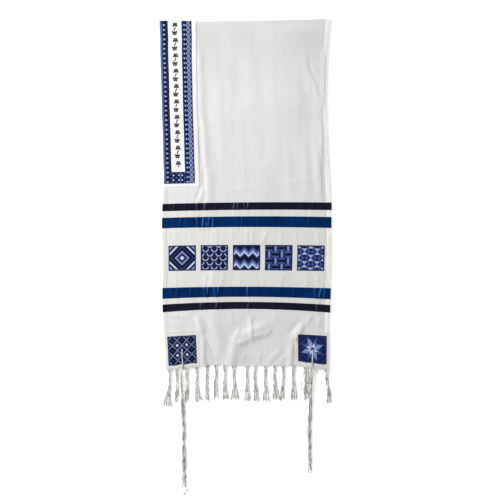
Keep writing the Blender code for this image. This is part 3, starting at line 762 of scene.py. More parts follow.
# %% Ribbon taffeta
def make_taffeta(name, dark, light, shine, roughness):
    """Woven filament: ribbed across its width, with tone that varies between ribs. Its dyed
    filaments give the highlights on each gather the ribbon's own colour."""
    values = {
        "Roughness": roughness,
        "IOR": 1.6,
        "Specular IOR Level": 1.0,
        "Specular Tint": linear(shine),
    }
    made, tree, shader = start_material(name, values)
    streaks = cloudy(tree, 3.5, (1, 0.12, 1), 3.0)
    patches = cloudy(tree, 24, (1, 0.5, 1), 2.0)
    colour = tint(tree, mean(tree, streaks, patches), dark, light, 0.38, 0.62)
    tree.links.new(colour, shader.inputs["Base Color"])
    ribs = plain_weave(tree, 0.9, "x")
    add_bumps(tree, shader, [(streaks, 0.3), (ribs, 0.03)])
    return made


NAVY_TAFFETA = make_taffeta(
    "navy_taffeta_ribbon", "#020204", "#080910", "#7072A0", 0.36
)
BLUE_TAFFETA = make_taffeta(
    "royal_taffeta_ribbon", "#00061B", "#001D56", "#3096FF", 0.35
)


# %% Embroidery, braid and yarn
def make_thread(name, roughness, pitch, depth):
    """Stitched or woven thread. Each point carries its colour, and in alpha its direction."""
    values = {"Roughness": roughness, "IOR": 1.5, "Specular IOR Level": 0.1}
    made, tree, shader = start_material(name, values)
    thread = add(tree, "ShaderNodeVertexColor", layer_name="Thread")
    worn = cloudy(tree, 1.4, (1, 1, 1), 2.0)
    shade = add(tree, "ShaderNodeMapRange", {"Value": worn, "To Min": 0.78, "To Max": 1.22})
    mixed = add(
        tree,
        "ShaderNodeMix",
        {"Factor": 1.0, 6: thread.outputs["Color"], 7: shade.outputs["Result"]},
        data_type="RGBA",
        blend_type="MULTIPLY",
    )
    tree.links.new(mixed.outputs[2], shader.inputs["Base Color"])
    down, across = plain_weave(tree, pitch, "x"), plain_weave(tree, pitch, "y")
    lay = add(tree, "ShaderNodeMix", {0: thread.outputs["Alpha"], 2: down, 3: across})
    add_bumps(tree, shader, [(lay.outputs[0], depth)])
    return made


def make_yarn(name, dark, light, hollow_shade=None, open_end_shade=None):
    """Twisted cotton or wool yarn: matt, with a short fuzz. In a bundle, the hollows between the
    cords get painted shade as darker streaks. Where the ends have come open, from one Y to another,
    the loose threads are painted darker, as the shade between them."""
    values = {"Roughness": 0.92, "IOR": 1.46, "Sheen Weight": 0.12, "Sheen Roughness": 0.6}
    made, tree, shader = start_material(name, values)
    fuzz = cloudy(tree, 0.9, (1, 1, 1), 3.0)
    colour = tint(tree, fuzz, dark, light)
    painted_shades = []
    # Painted shade: darker streaks for the hollows between the cords.
    if hollow_shade:
        streaks = cloudy(tree, 2.4, (1, 0.1, 1), 2.0)
        painted_shades.append((1.0, tint(tree, streaks, hollow_shade, "#FFFFFF", 0.4, 0.53)))
    # Painted shade among the open ends, darker towards the tips.
    if open_end_shade:
        first, last, shade = open_end_shade
        place = add(tree, "ShaderNodeTexCoord").outputs["Object"]
        split = add(tree, "ShaderNodeSeparateXYZ", {"Vector": place})
        sockets = {"Value": split.outputs["Y"], "From Min": first * MM, "From Max": last * MM}
        down = add(tree, "ShaderNodeMapRange", sockets).outputs["Result"]
        tufts = cloudy(tree, 3.0, (1, 0.15, 1), 2.0)
        painted_shades.append((down, tint(tree, tufts, shade, "#F4F3F1", 0.38, 0.62)))
    for share, shade in painted_shades:
        sockets = {"Factor": share, 6: colour, 7: shade}
        mixed = add(tree, "ShaderNodeMix", sockets, data_type="RGBA", blend_type="MULTIPLY")
        colour = mixed.outputs[2]
    tree.links.new(colour, shader.inputs["Base Color"])
    add_bumps(tree, shader, [(fuzz, 0.25)])
    return made


EMBROIDERY = make_thread("rayon_satin_stitch", 0.45, 0.8, 0.12)
BRAID = make_thread("jacquard_woven_braid", 0.5, 1.0, 0.08)
MOTIF_THREAD = make_yarn("black_rayon_embroidery", "#06070D", "#121428")
# The fringe and the tassel wool have painted shade in their hollows, and the fringe's open ends are
# painted darker.
FRINGE_YARN = make_yarn(
    "twisted_cotton_fringe_yarn",
    "#E6E4E1",
    "#FAF9F7",
    hollow_shade="#A9A7A2",
    open_end_shade=(-384.0, -414.0, "#B4B2AE"),
)
TZITZIT_WOOL = make_yarn(
    "twisted_wool_tzitzit_yarn", "#D6D3CD", "#F0EEE8", hollow_shade="#979490"
)
EYELET_THREAD = make_yarn("navy_buttonhole_thread", "#0C1434", "#26356E")
SEWING_THREAD = make_yarn("white_sewing_thread", "#DDDBD6", "#EFEDE9")

# %% [markdown]
# ## The cloth
#
# One wall goes from the lower hem, round the fold, to the upper hem. Its grid lines are close
# enough for the creases, and closer still at the side hems and the fold. The two eyelets are
# open through it.

# %% Cloth
EYELETS = {
    "left": (EYELET_SIDE, FRONT_LENGTH - EYELET_HEM),
    "right": (WIDTH - EYELET_SIDE, FRONT_LENGTH - EYELET_HEM),
}
# How far apart the grid lines are: across the cloth and in its side hems, then along the lower
# half, the fold and the upper half.
STEP_ACROSS, STEP_HEM, STEP_BACK, STEP_FOLD, STEP_FRONT = 3.8, 1.9, 16.0, 0.8, 5.0


def cloth_grid():
    """The cloth's grid lines: across it, and along it from the lower hem to the upper one."""
    side_marks, down_marks = eyelet_marks(EYELETS["left"])
    hem_lines = np.arange(1.5, SIDE_HEM + 4, STEP_HEM)
    marks = [*side_marks, *eyelet_marks(EYELETS["right"])[0], *hem_lines, *(WIDTH - hem_lines)]
    back = lines(-BACK_LENGTH, -ROLL_HALF, STEP_BACK)
    fold = lines(-ROLL_HALF, ROLL_HALF, STEP_FOLD)
    front = lines(ROLL_HALF, FRONT_LENGTH, STEP_FRONT, down_marks)
    return lines(0, WIDTH, STEP_ACROSS, marks), np.unique(np.concatenate([back, fold, front]))


shawl = sewn_layer(
    "shawl",
    *cloth_grid(),
    (-WALL / 2, WALL / 2),
    COTTON,
    ["shawl_cloth"],
    eyelets=EYELETS.values(),
)

# %% [markdown]
# ## Satin stitch and woven braid, as colour and relief
#
# An embroidered area is padded: high along its middle, and low in the groove at its edge, where
# shade is painted in as a darker colour. So each design below answers two questions for a point:
# which thread lies there, and how far it is to that area's edge. One function turns the answers
# into colours and relief. The direction of the stitches goes along in the colour's alpha.

# %% Threads
THREADS = {
    "night": "#04060F",
    "ink": "#090F30",
    "navy": "#0E1847",
    "royal": "#1E2F6C",
    "mid": "#40528F",
    "light": "#7F92CB",
    "sky": "#A6B6E4",
    "pale": "#C9D5F2",
    "haze": "#9FABC6",
    "mist": "#53638F",
}
DOWN, ACROSS = 0.0, 1.0
SATIN_PADDING, BRAID_PADDING = 0.5, 0.16
# The painted shade at an area's edge fades out over the first of these widths, and the relief rises
# over the second.
GROOVE_SHADE_WIDTH, PADDED_WIDTH = 0.8, 2.0


def stitched(kind, edge, names, directions, padding):
    """Colours and relief from each point's kind of thread and its distance to the edge: shade is
    painted in the groove, half as bright, and the relief is as high as the square root of the
    distance."""
    colours = np.array([linear(THREADS[name]) for name in names])
    # Painted shade: the colour falls to half in the groove at each area's edge.
    groove = 0.5 + 0.5 * smooth_step(edge / GROOVE_SHADE_WIDTH)
    colour = colours[kind] * groove[..., None]
    colour[..., 3] = np.asarray(directions)[kind]
    return colour, padding * np.sqrt(np.clip(edge / PADDED_WIDTH, 0.0, 1.0))


def bands(distance, width, count):
    """Which band of that width each distance falls in, counting round, and how far inside."""
    share = distance / width
    band = np.floor(share).astype(int)
    return band % count, width * np.minimum(share - band, band + 1 - share)


# %% Designs of the embroidered squares
def nested_diamonds(u, v, band=5.4):
    """Squares on their points, one inside the next."""
    return bands((np.abs(u) + np.abs(v)) / np.sqrt(2), band, 6)


def clamshells(u, v, radius=13.2, band=3.3):
    """Rows of half discs, each over the gap between two of the next row, in three rings."""
    row = np.floor(v / radius).astype(int)
    shift = np.where(row % 2 == 0, 0.0, radius)
    near = (u + shift + radius) % (2 * radius) - radius
    far = (u + shift) % (2 * radius) - radius
    own = np.hypot(near, v - row * radius)
    next_one = np.hypot(far, (row + 1) * radius - v)
    inside = own <= radius
    to_rim = np.where(inside, radius - own, own - radius)
    ring, ring_edge = bands(np.where(inside, radius - own, next_one / 3), band, 4)
    return np.where(inside, ring, 3), np.where(inside, np.minimum(ring_edge, to_rim), to_rim)


def chevrons(u, v, pitch=25.0, band=4.3, start=100.0):
    """Zigzag bands from side to side, counted from a start far above."""
    fold = np.abs((u + pitch / 4) % pitch - pitch / 2)
    return bands((v + fold) / np.sqrt(2) + start, band, 6)


def rails(u, v, cell=19.0, bars=3):
    """A woven fence: blocks of three bars, upright and level by turns."""
    i, j = np.floor(u / cell).astype(int), np.floor(v / cell).astype(int)
    level = (i + j) % 2 == 0
    over, down = u - i * cell, v - j * cell
    bar, edge = bands(np.where(level, down, over), cell / bars, bars)
    other = np.where(level, over, down)
    end = np.minimum(other, cell - other)
    return bar + bars * level, np.minimum(edge, end)


def hourglasses(u, v, cell=19.0):
    """Blocks cut into four triangles, dark and light by turns."""
    i, j = np.round(u / cell).astype(int), np.round(v / cell).astype(int)
    over, down = u - i * cell, v - j * cell
    upright = np.abs(down) > np.abs(over)
    kind = 2 * upright + (i + j) % 2
    to_cut = np.abs(np.abs(over) - np.abs(down)) / np.sqrt(2)
    to_side = cell / 2 - np.maximum(np.abs(over), np.abs(down))
    return kind, np.minimum(to_cut, to_side)


def lattice(u, v, cell=20.6, line=1.45, heart=3.6, ring=6.4):
    """Two sets of slanted lines, with a small square on its point inside each mesh. In every
    second mesh it is pale, with a dark ring round it."""
    rise, fall = (u + v) / np.sqrt(2), (u - v) / np.sqrt(2)
    i, j = np.round(rise / cell).astype(int), np.round(fall / cell).astype(int)
    reach = np.maximum(np.abs(rise - i * cell), np.abs(fall - j * cell))
    second = (i + j) % 2
    inside = [reach > cell / 2 - line, reach < heart, (reach < ring) & (second == 1)]
    kind = np.select(inside, [3, 2 + 2 * second, 5], second)
    gaps = [reach - cell / 2 + line, reach - heart, reach - cell / 2, reach - ring]
    return kind, np.abs(np.stack(gaps)).min(axis=0)


def eight_points(u, v, arm=20.0, band=9.0):
    """A star of eight diamonds with lighter hearts, on squares that stand on their points."""
    turn, radius = np.arctan2(v, u), np.hypot(u, v)
    sector = np.floor(turn / (np.pi / 4)).astype(int)
    within = turn - sector * np.pi / 4
    slope, heart = np.sin(np.pi / 4), 0.55 * arm
    second = radius * np.sin(within) / slope
    first = radius * np.cos(within) - second * np.cos(np.pi / 4)
    far = np.maximum(first, second)
    ground, ground_edge = bands(np.abs(u) + np.abs(v), band, 2)
    star = far < arm
    kind = np.where(star, 2 * (far < heart) + sector % 2, 4 + ground)
    rim = np.abs(arm - far)
    star_edge = np.minimum.reduce([first, second, rim, np.abs(far - heart)]) * slope
    return kind, np.where(star, star_edge, np.minimum(ground_edge, rim * slope))


DESIGNS = {
    "embroidered_square_1": (
        nested_diamonds,
        ("pale", "navy", "light", "night", "royal", "night"),
        (DOWN, ACROSS, DOWN, ACROSS, DOWN, ACROSS),
    ),
    "embroidered_square_2": (clamshells, ("navy", "sky", "night", "navy"), (DOWN,) * 4),
    "embroidered_square_3": (
        chevrons,
        ("night", "navy", "mid", "light", "pale", "royal"),
        (DOWN,) * 6,
    ),
    "embroidered_square_4": (
        rails,
        ("navy", "light", "royal", "mid", "night", "mid"),
        (ACROSS, ACROSS, ACROSS, DOWN, DOWN, DOWN),
    ),
    "embroidered_square_5": (
        hourglasses,
        ("royal", "mid", "sky", "navy"),
        (ACROSS, ACROSS, DOWN, DOWN),
    ),
    "corner_square_left": (
        lattice,
        ("night", "navy", "royal", "light", "pale", "night"),
        (DOWN, DOWN, ACROSS, DOWN, ACROSS, DOWN),
    ),
    "corner_square_right": (
        eight_points,
        ("mid", "light", "pale", "sky", "navy", "royal"),
        (DOWN, ACROSS, DOWN, ACROSS, DOWN, ACROSS),
    ),
}
FRAME_RAIL, FRAME_CORD = 2.4, 3.6
print(len(DESIGNS), "designs from", len(THREADS), "threads")


def square_painter(name, centre, size):
    """The colours and relief of one design inside its frame: a wide rail, then a thin cord."""
    design, names, directions = DESIGNS[name]
    frame_kind = len(names)
    names, directions = (*names, "navy", "navy", "mid"), (*directions, ACROSS, DOWN, DOWN)

    def paint(across, along):
        u, v = across - centre[0], along - centre[1]
        kind, edge = design(u, v)
        to_side, to_end = size[0] / 2 - np.abs(u), size[1] / 2 - np.abs(v)
        inward = np.minimum(to_side, to_end)
        rail, cord = inward < FRAME_RAIL, inward < FRAME_CORD
        rail_kind = frame_kind + (to_end < to_side)
        kind = np.select([rail, cord], [rail_kind, frame_kind + 2], kind)
        gaps = np.abs(np.stack([inward, inward - FRAME_RAIL, inward - FRAME_CORD])).min(axis=0)
        edge = np.where(cord, gaps, np.minimum(edge, gaps))
        return stitched(kind, edge, names, directions, SATIN_PADDING)

    return paint


# %% [markdown]
# ## Embroidered squares
#
# Each square is embroidered on its own small cloth and then sewn down. The upper half's five lie
# in a row between the blue ribbons. The shawl is the same at its other end, so the lower half
# has them too, face down against the table, where a thin and coarser wall is enough.

# %% Squares
THIN_BELOW = (0.47, 0.58)
SQUARE_STEP, BELOW_STEP = 0.9, 3.0
for number, start in enumerate(SQUARE_STARTS, 1):
    name = f"embroidered_square_{number}"
    end, bottom = start + SQUARE_WIDTH, SQUARE_TOP + SQUARE_HEIGHT
    middle_across, middle_along = (start + end) / 2, (SQUARE_TOP + bottom) / 2
    size = (SQUARE_WIDTH, SQUARE_HEIGHT)
    sewn_layer(
        name + "_stitched",
        lines(start, end, SQUARE_STEP),
        lines(SQUARE_TOP, bottom, SQUARE_STEP),
        LEVEL_1,
        EMBROIDERY,
        [name],
        square_painter(name, (middle_across, middle_along), size),
    )
    sewn_layer(
        name + "_below",
        lines(start, end, BELOW_STEP),
        lines(-bottom, -SQUARE_TOP, BELOW_STEP),
        THIN_BELOW,
        EMBROIDERY,
        paint=square_painter(name, (middle_across, -middle_along), size),
    )

# %% [markdown]
# ## Ribbons
#
# Polyester taffeta, stitched along both selvedges and turned round the sides of the shawl. A
# ribbon takes its gathers from the same formula as the cloth, so it needs a close grid across.

# %% Ribbons
TUCK_RISE, TUCK_STEP, TUCK_SPAN = 1.6, 0.8, (-8.8, 4.9)
RIBBON_FLANKS = (5.0, 2.0)
RIBBON_STEP_ACROSS, RIBBON_STEP_ALONG = 2.9, 2.8
SELVEDGE_REACH, SELVEDGE_HOLD = 5.0, 0.35


def gathered(name):
    """A ribbon's own relief: each tuck stands up, wide on its left flank and steep on its right,
    and lower at both selvedges, where the stitches hold it down."""
    first, last = RIBBONS[name]

    def paint(across, along):
        inward = np.minimum(along - first, last - along)
        held = smooth_step(inward / SELVEDGE_REACH + SELVEDGE_HOLD)
        return None, TUCK_RISE * held * tucks(name, across, along, *RIBBON_FLANKS)

    return paint


def ribbon_lines(name):
    """Grid lines across a ribbon, close together at each tuck."""
    steps = np.arange(*TUCK_SPAN, TUCK_STEP)
    places = np.array([tuck[0] for tuck in GATHERS[name]])
    marks = (places[:, None] + steps).ravel()
    marks = np.unique(np.round(marks / TUCK_STEP) * TUCK_STEP)
    return lines(-1, WIDTH + 1, RIBBON_STEP_ACROSS, marks[marks < WIDTH])


for name, (first, last) in RIBBONS.items():
    taffeta = NAVY_TAFFETA if "navy" in name else BLUE_TAFFETA
    sewn_layer(
        name + "_taffeta",
        ribbon_lines(name),
        lines(first, last, RIBBON_STEP_ALONG),
        LEVEL_1,
        taffeta,
        [name],
        gathered(name),
    )
    sewn_layer(
        name + "_below", lines(0, WIDTH, 12.0), lines(-last, -first, 6.0), THIN_BELOW, taffeta
    )

# %% [markdown]
# ## Neckband
#
# The neckband lies over the fold, half on each side of the shawl. It is a white satin ground with
# a plain panel down the middle, framed by woven braid. The braid's pattern repeats every
# fourteen millimetres: triangles in the outer border, diamonds in the inner one, and arrowheads
# at the two ends.

# %% Braid patterns
REPEAT = 14.2
print("the braid repeats", round(2 * BORDER_REACH / REPEAT), "times along each border")


def outer_braid(across, along):
    """Two misty strips, then a dark ground with a row of triangles that point inwards, and a
    small seed between each two."""
    pale_strip, misty_strip = 2.2, 7.4
    foot, length, half_width, rim, seed_place = 9.4, 11.0, 4.7, 1.1, 21.6
    row = np.abs((along + REPEAT / 2) % REPEAT - REPEAT / 2)
    spread = half_width * (1 - (across - foot) / length)
    triangle = (across > foot) & (row < spread)
    heart = (across > 11.2) & (row < spread - rim)
    seed = np.hypot(across - seed_place, row - REPEAT / 2) < 1.3
    inside = [across < pale_strip, across < misty_strip, heart, triangle, seed]
    kind = np.select(inside, [0, 2, 1, 3, 2], 4)
    slant = np.where(across > foot, (spread - row) * 0.9, 9.0)
    edge = np.abs(np.stack([across, across - misty_strip, slant])).min(axis=0)
    return stitched(kind, edge, ("haze", "sky", "mist", "mid", "ink"), (DOWN,) * 5, BRAID_PADDING)


def inner_braid(across, along):
    """Between two royal edges, a column of pale dots in dimmer rings, and beside it a chain of
    sky-blue diamonds with light hearts."""
    first, last = 2.6, 26.8
    dot_place, dot_radius, ring_radius = 7.4, 2.1, 4.2
    chain_place, half_width, line, heart, scale = 19.6, 6.6, 1.1, 0.36, 4.8
    row = np.abs((along + REPEAT / 2) % REPEAT - REPEAT / 2)
    over = across - PANEL_END
    dot = np.hypot(over - dot_place, row)
    chain = np.abs(over - chain_place) / half_width + row / (REPEAT / 2)
    to_line = np.abs(chain - 1.0) * scale
    outside = (over <= first) | (over >= last)
    inside = [outside, dot < dot_radius, dot < ring_radius, to_line < line, chain < heart]
    kind = np.select(inside, [4, 1, 5, 2, 3], 0)
    gaps = [over, over - first, over - last, dot - dot_radius, dot - ring_radius]
    gaps += [to_line - line, (chain - heart) * scale]
    edge = np.abs(np.stack(gaps)).min(axis=0)
    names = ("navy", "pale", "sky", "light", "royal", "mid")
    return stitched(kind, edge, names, (DOWN,) * 6, BRAID_PADDING)


def end_braid(across, along):
    """Navy, with columns of pale arrowheads that turn their backs on each other, and dots."""
    column_width, back, half_width, rim, dot_place = 13.0, 3.9, 4.6, 1.4, 6.5
    over = (across - OUTER_END - 1.0) / column_width
    down = np.abs(along) - PANEL_REACH - 3.0
    column = np.floor(over)
    side = (over - column - 0.5) * column_width * np.where(column % 2 == 0, 1, -1)
    row = np.abs(down % REPEAT - REPEAT / 2)
    spread = half_width * (back - side) / (2 * back)
    arrow = (side > -back) & (row < spread)
    dot = np.hypot(np.abs(side) - dot_place, row - REPEAT / 2) < 1.7
    kind = np.select([arrow & (row < spread - rim), arrow, dot], [1, 2, 3], 0)
    slant = np.where(side > -back, (spread - row) * 0.86, 9.0)
    edge = np.abs(np.stack([slant, side + back])).min(axis=0)
    return stitched(kind, edge, ("navy", "pale", "mid", "light"), (DOWN,) * 4, BRAID_PADDING)


# %% Neckband pieces
def band_rows(first, last, step):
    """Grid lines along the band, closer at the fold and wider on the lower half."""
    below = lines(first, -ROLL_HALF, 3.0)
    fold = lines(-ROLL_HALF, ROLL_HALF, STEP_FOLD)
    return np.unique(np.concatenate([below, fold, lines(ROLL_HALF, last, step)]))


PANEL_PLACE = (OUTER_END + 0.2, PANEL_END - 0.2)
BRAID_STEP = 1.0
sewn_layer(
    "neckband_satin_ground",
    lines(0, GROUND_END, 5.0),
    band_rows(-GROUND_REACH, GROUND_REACH, 7.5),
    LEVEL_1,
    SATIN,
    ["neckband_ground"],
)
sewn_layer(
    "neckband_satin_panel",
    lines(*PANEL_PLACE, 2.7),
    band_rows(-PANEL_REACH, PANEL_REACH, 5.0),
    LEVEL_2,
    SATIN,
    ["neckband_panel"],
)
sewn_layer(
    "neckband_outer_braid",
    lines(0, OUTER_END, 0.95),
    band_rows(-BORDER_REACH, BORDER_REACH, BRAID_STEP),
    LEVEL_2,
    BRAID,
    ["neckband_outer_border"],
    outer_braid,
)
sewn_layer(
    "neckband_inner_braid",
    lines(PANEL_END, INNER_END, 1.05),
    band_rows(-BORDER_REACH, BORDER_REACH, BRAID_STEP),
    LEVEL_2,
    BRAID,
    ["neckband_inner_border"],
    inner_braid,
)
for node, first, last in (
    ("neckband_front_end", PANEL_REACH + 0.2, BORDER_REACH),
    ("neckband_back_end", -BORDER_REACH, -PANEL_REACH - 0.2),
):
    columns, rows = lines(*PANEL_PLACE, BRAID_STEP), lines(first, last, BRAID_STEP)
    sewn_layer(node + "_braid", columns, rows, LEVEL_2, BRAID, [node], end_braid)


# %% [markdown]
# ## Embroidery on the neckband's panel
#
# A column of small sprigs in near-black thread, each a stem, two pairs of leaves and a bud. Every
# leaf is a padded pointed oval laid on the panel. No sprig lies across the fold.

# %% Sprigs
def leaf(centre, angle, length, width):
    """Across, along and height of a pointed oval: width cos(pi t), highest along its middle."""
    run = np.linspace(-0.5, 0.5, 8)[:, None]
    side = np.linspace(-1, 1, 4)[None, :]
    down = run * length + 0 * side
    right = side * (width / 2 * np.cos(np.pi * run) ** 0.8 + 0.15)
    across = centre[0] + right * np.cos(angle) + down * np.sin(angle)
    along = centre[1] - right * np.sin(angle) + down * np.cos(angle)
    height = 0.12 + 0.55 * np.sqrt(1 - side**2 * 0.9) * np.cos(np.pi * run) ** 0.4
    return across, along, height


# One sprig's parts: place across and along from its middle, angle, length and width.
SPRIG = (
    (0.0, 0.0, 0.0, 15.0, 2.7),
    (-4.4, 1.4, -0.85, 9.8, 5.2),
    (4.4, 1.4, 0.85, 9.8, 5.2),
    (-3.7, -4.6, -0.7, 7.2, 4.0),
    (3.7, -4.6, 0.7, 7.2, 4.0),
    (0.0, 9.0, 0.0, 5.0, 4.4),
)
SPRIG_PITCH, FIRST_SPRIG, SPRIGS_EACH_WAY = 23.0, 14.0, 19
PANEL_MIDDLE, SPRIG_SWAY = (OUTER_END + PANEL_END) / 2, 1.2


def make_sprigs():
    """Sprigs on both halves, the first bud pointing away from the fold, the next towards it."""
    leaves = []
    for half in (-1, 1):
        for number in range(SPRIGS_EACH_WAY):
            centre = half * (FIRST_SPRIG + number * SPRIG_PITCH)
            flip = half * (-1) ** number
            for across, along, angle, length, width in SPRIG:
                place = (PANEL_MIDDLE + across + SPRIG_SWAY * flip, centre + flip * along)
                leaves.append(leaf(place, angle * flip, length, width))
    across, along, height = (np.stack(part) for part in zip(*leaves))
    height = 0.1 + (height - 0.1) * smooth_step(along / 12 + 0.5)
    middle, normal = surface(across, along)
    low = middle + normal * (LEVEL_2[1] - 0.05)
    high = middle + normal * (LEVEL_2[1] + height)[..., None]
    faces = wall_faces(across.shape[1:]).tolist()
    parts = [
        (np.concatenate([under.reshape(-1, 3), over.reshape(-1, 3)]), faces)
        for under, over in zip(low, high)
    ]
    add_parts("neckband_sprigs", parts, MOTIF_THREAD)


make_sprigs()

# %% [markdown]
# ## Corner patches
#
# A square of cotton with a corded edge strengthens each corner, and an embroidered square covers
# it. The eyelet goes through all three layers, and its rim is worked in buttonhole stitch.

# %% Corners
def corded_edge(first_across, last_across, first_along, last_along):
    """The relief of a corded, stitched edge round a patch. It has no colours of its own."""

    def paint(across, along):
        inward = np.minimum.reduce(
            [across - first_across, last_across - across, along - first_along, last_along - along]
        )
        cord = 0.42 * np.exp(-(((inward - 1.7) / 1.2) ** 2))
        groove = 0.2 * np.exp(-(((inward - 3.8) / 0.9) ** 2))
        return None, cord - groove

    return paint


def edge_marks(first, last):
    """Extra grid lines for the cord along two edges."""
    steps = np.array([0.7, 1.7, 2.7, 3.8, 4.9])
    return [*(first + steps), *(last - steps)]


PATCH_STEP, CORNER_STEP = 2.8, 0.92
EYELET_STITCHES = 20


def corner_place(side):
    """Where a corner's square lies: its first and last place across, then along from the fold."""
    left, inset = 0.0, CORNER_SIDE
    if side == "right":
        left, inset = WIDTH - PATCH_WIDTH, PATCH_WIDTH - CORNER_SIDE - CORNER_WIDTH
    start, bottom = left + inset, FRONT_LENGTH - CORNER_HEM[side]
    return start, start + CORNER_WIDTH, bottom - CORNER_HEIGHT, bottom


def make_upper_corner(side):
    """An upper corner's patch, its square, and the ring of buttonhole stitches round the eyelet,
    which is a tube whose thickness swells once for each stitch."""
    left, right = (0.0, PATCH_WIDTH) if side == "left" else (WIDTH - PATCH_WIDTH, WIDTH)
    first, last = FRONT_LENGTH - PATCH_HEIGHT, FRONT_LENGTH - PATCH_EDGE
    start, finish, top, bottom = corner_place(side)
    eyelet = EYELETS[side]
    side_marks, down_marks = eyelet_marks(eyelet)
    sewn_layer(
        f"corner_patch_{side}_cotton",
        lines(left, right, PATCH_STEP, [*edge_marks(left, right), *side_marks]),
        lines(first, last, PATCH_STEP, [*edge_marks(first, last), *down_marks]),
        LEVEL_1,
        PATCH_COTTON,
        ["corner_patch_" + side],
        corded_edge(left, right, first, last),
        [eyelet],
    )
    name, centre = "corner_square_" + side, ((start + finish) / 2, (top + bottom) / 2)
    sewn_layer(
        name + "_stitched",
        lines(start, finish, CORNER_STEP, side_marks),
        lines(top, bottom, CORNER_STEP, down_marks),
        LEVEL_2,
        EMBROIDERY,
        [name],
        square_painter(name, centre, (CORNER_WIDTH, CORNER_HEIGHT)),
        [eyelet],
    )
    turn = np.linspace(0, 2 * np.pi, 80, endpoint=False)
    rim = EYELET_RADIUS + 0.9
    across, along = eyelet[0] + rim * np.cos(turn), eyelet[1] + rim * np.sin(turn)
    path = on_cloth(across, along, LEVEL_2[1] + 0.3)
    stitch = 2 * np.pi * rim / EYELET_STITCHES
    ring = tube(path, 0.85, 8, lobes=0, lobe_depth=0.16, pitch=stitch, closed=True)
    add_parts("eyelet_stitching_" + side, [ring], EYELET_THREAD)


def make_lower_corner(side):
    """A lower corner's square, thin and face down. Its patch doesn't show."""
    start, finish, top, bottom = corner_place(side)
    name, centre = "corner_square_" + side, ((start + finish) / 2, -(top + bottom) / 2)
    painter = square_painter(name, centre, (CORNER_WIDTH, CORNER_HEIGHT))
    columns, rows = lines(start, finish, BELOW_STEP), lines(-bottom, -top, BELOW_STEP)
    sewn_layer(name + "_below", columns, rows, THIN_BELOW, EMBROIDERY, paint=painter)


for side in ("left", "right"):
    make_upper_corner(side)
for side in ("left", "right"):
    make_lower_corner(side)

# %% [markdown]
# ## Seams
#
# White lockstitch holds the side hems, the neckband's edge and the patches. Each stitch is a short
# thread whose two ends go down into the cloth.

# %% Stitches
STITCH_PITCH = 3.3
SIDE_SEAM, BAND_SEAM, PATCH_SEAM = SIDE_HEM - 2.2, GROUND_END - 3.0, 3.8


def seam_lines():
    """Each seam's two ends on the cloth, and the height at which its thread lies."""
    seams = [
        (place, first, place, last, WALL / 2)
        for place, below_fold in ((WIDTH - SIDE_SEAM, 14), (SIDE_SEAM, 500))
        for first, last in ((below_fold, 545), (620, 798))
    ]
    seams.append((BAND_SEAM, 14, BAND_SEAM, 494, LEVEL_1[1]))
    lift = LEVEL_1[1] - 0.1
    top = FRONT_LENGTH - PATCH_HEIGHT + PATCH_SEAM
    bottom = FRONT_LENGTH - PATCH_EDGE - PATCH_SEAM
    for left in (0.0, WIDTH - PATCH_WIDTH):
        first, last = left + PATCH_SEAM, left + PATCH_WIDTH - PATCH_SEAM
        inner = first if left else last
        seams.append((first, top, last, top, lift))
        seams.append((inner, top, inner, bottom, lift))
        seams.append((first, bottom, last, bottom, lift))
    return seams


def make_stitches():
    """Tubes of four points: down in the cloth at both ends, and up over it between them."""
    share = np.array([0.08, 0.3, 0.62, 0.84])
    rise = np.array([-0.2, 0.26, 0.26, -0.2])
    parts = []
    for across, along, to_across, to_along, lift in seam_lines():
        count = round(np.hypot(to_across - across, to_along - along) / STITCH_PITCH)
        at = (np.arange(count)[:, None] + share) / count
        paths = on_cloth(
            across + at * (to_across - across), along + at * (to_along - along), lift + rise
        )
        parts += [tube(path, 0.3, 5) for path in paths]
    return add_parts("seam_stitches", parts, SEWING_THREAD)


stitches = make_stitches()

# %% [markdown]
# ## Fringe
#
# Bundles of twisted yarn are drawn through each hem. The upper fringe has 17 tassels of four
# cords, which a few turns of yarn bind a finger's width below the hem. Lower down they open,
# and their last centimetres have come untwisted into loose threads. No two tassels are alike,
# so each has its own row in a table.

# %% Tassels
# Each tassel's place along the hem, how far it leans, its length, and how wide its end is.
Tassel = namedtuple("Tassel", "across lean length flare")
TASSELS = [
    Tassel(*row)
    for row in (
        (11.3, -5, 113, 13),
        (33.0, 0, 102, 5),
        (64.0, 1, 104, 5),
        (94.5, 4, 105, 10),
        (127.2, 1, 109, 5),
        (155.3, -1, 103, 8),
        (181.8, 2, 104, 9),
        (210.5, 2, 103, 12),
        (251.3, 2, 107, 9),
        (277.5, -1, 108, 8),
        (308.7, 1, 108, 10),
        (338.0, 2, 106, 11),
        (365.1, -2, 105, 6),
        (396.6, -1, 105, 10),
        (434.0, 0, 101, 5),
        (446.0, 1, 97, 4),
        (499.0, 9, 104, 7),
    )
]
ROOT_OFFSETS = (-5.2, -2.4, 2.4, 5.2)
BOUND_OFFSETS = (-3.4, -1.15, 1.15, 3.4)
BOUND_DROP = 15.0
CORD_RADIUS, CORD_STEP = 1.25, 1.15
CRIMP, CRIMP_LENGTH = 0.55, 3.1
THREAD_RADIUS, LEAST_HEIGHT = 0.76, 1.5
TIP_HEIGHT, TIP_REACH = 2.2, 42.0
CUT_SHARE, FAN_SHARE, LOOSE_SHARE = 0.8, 0.24, 0.37
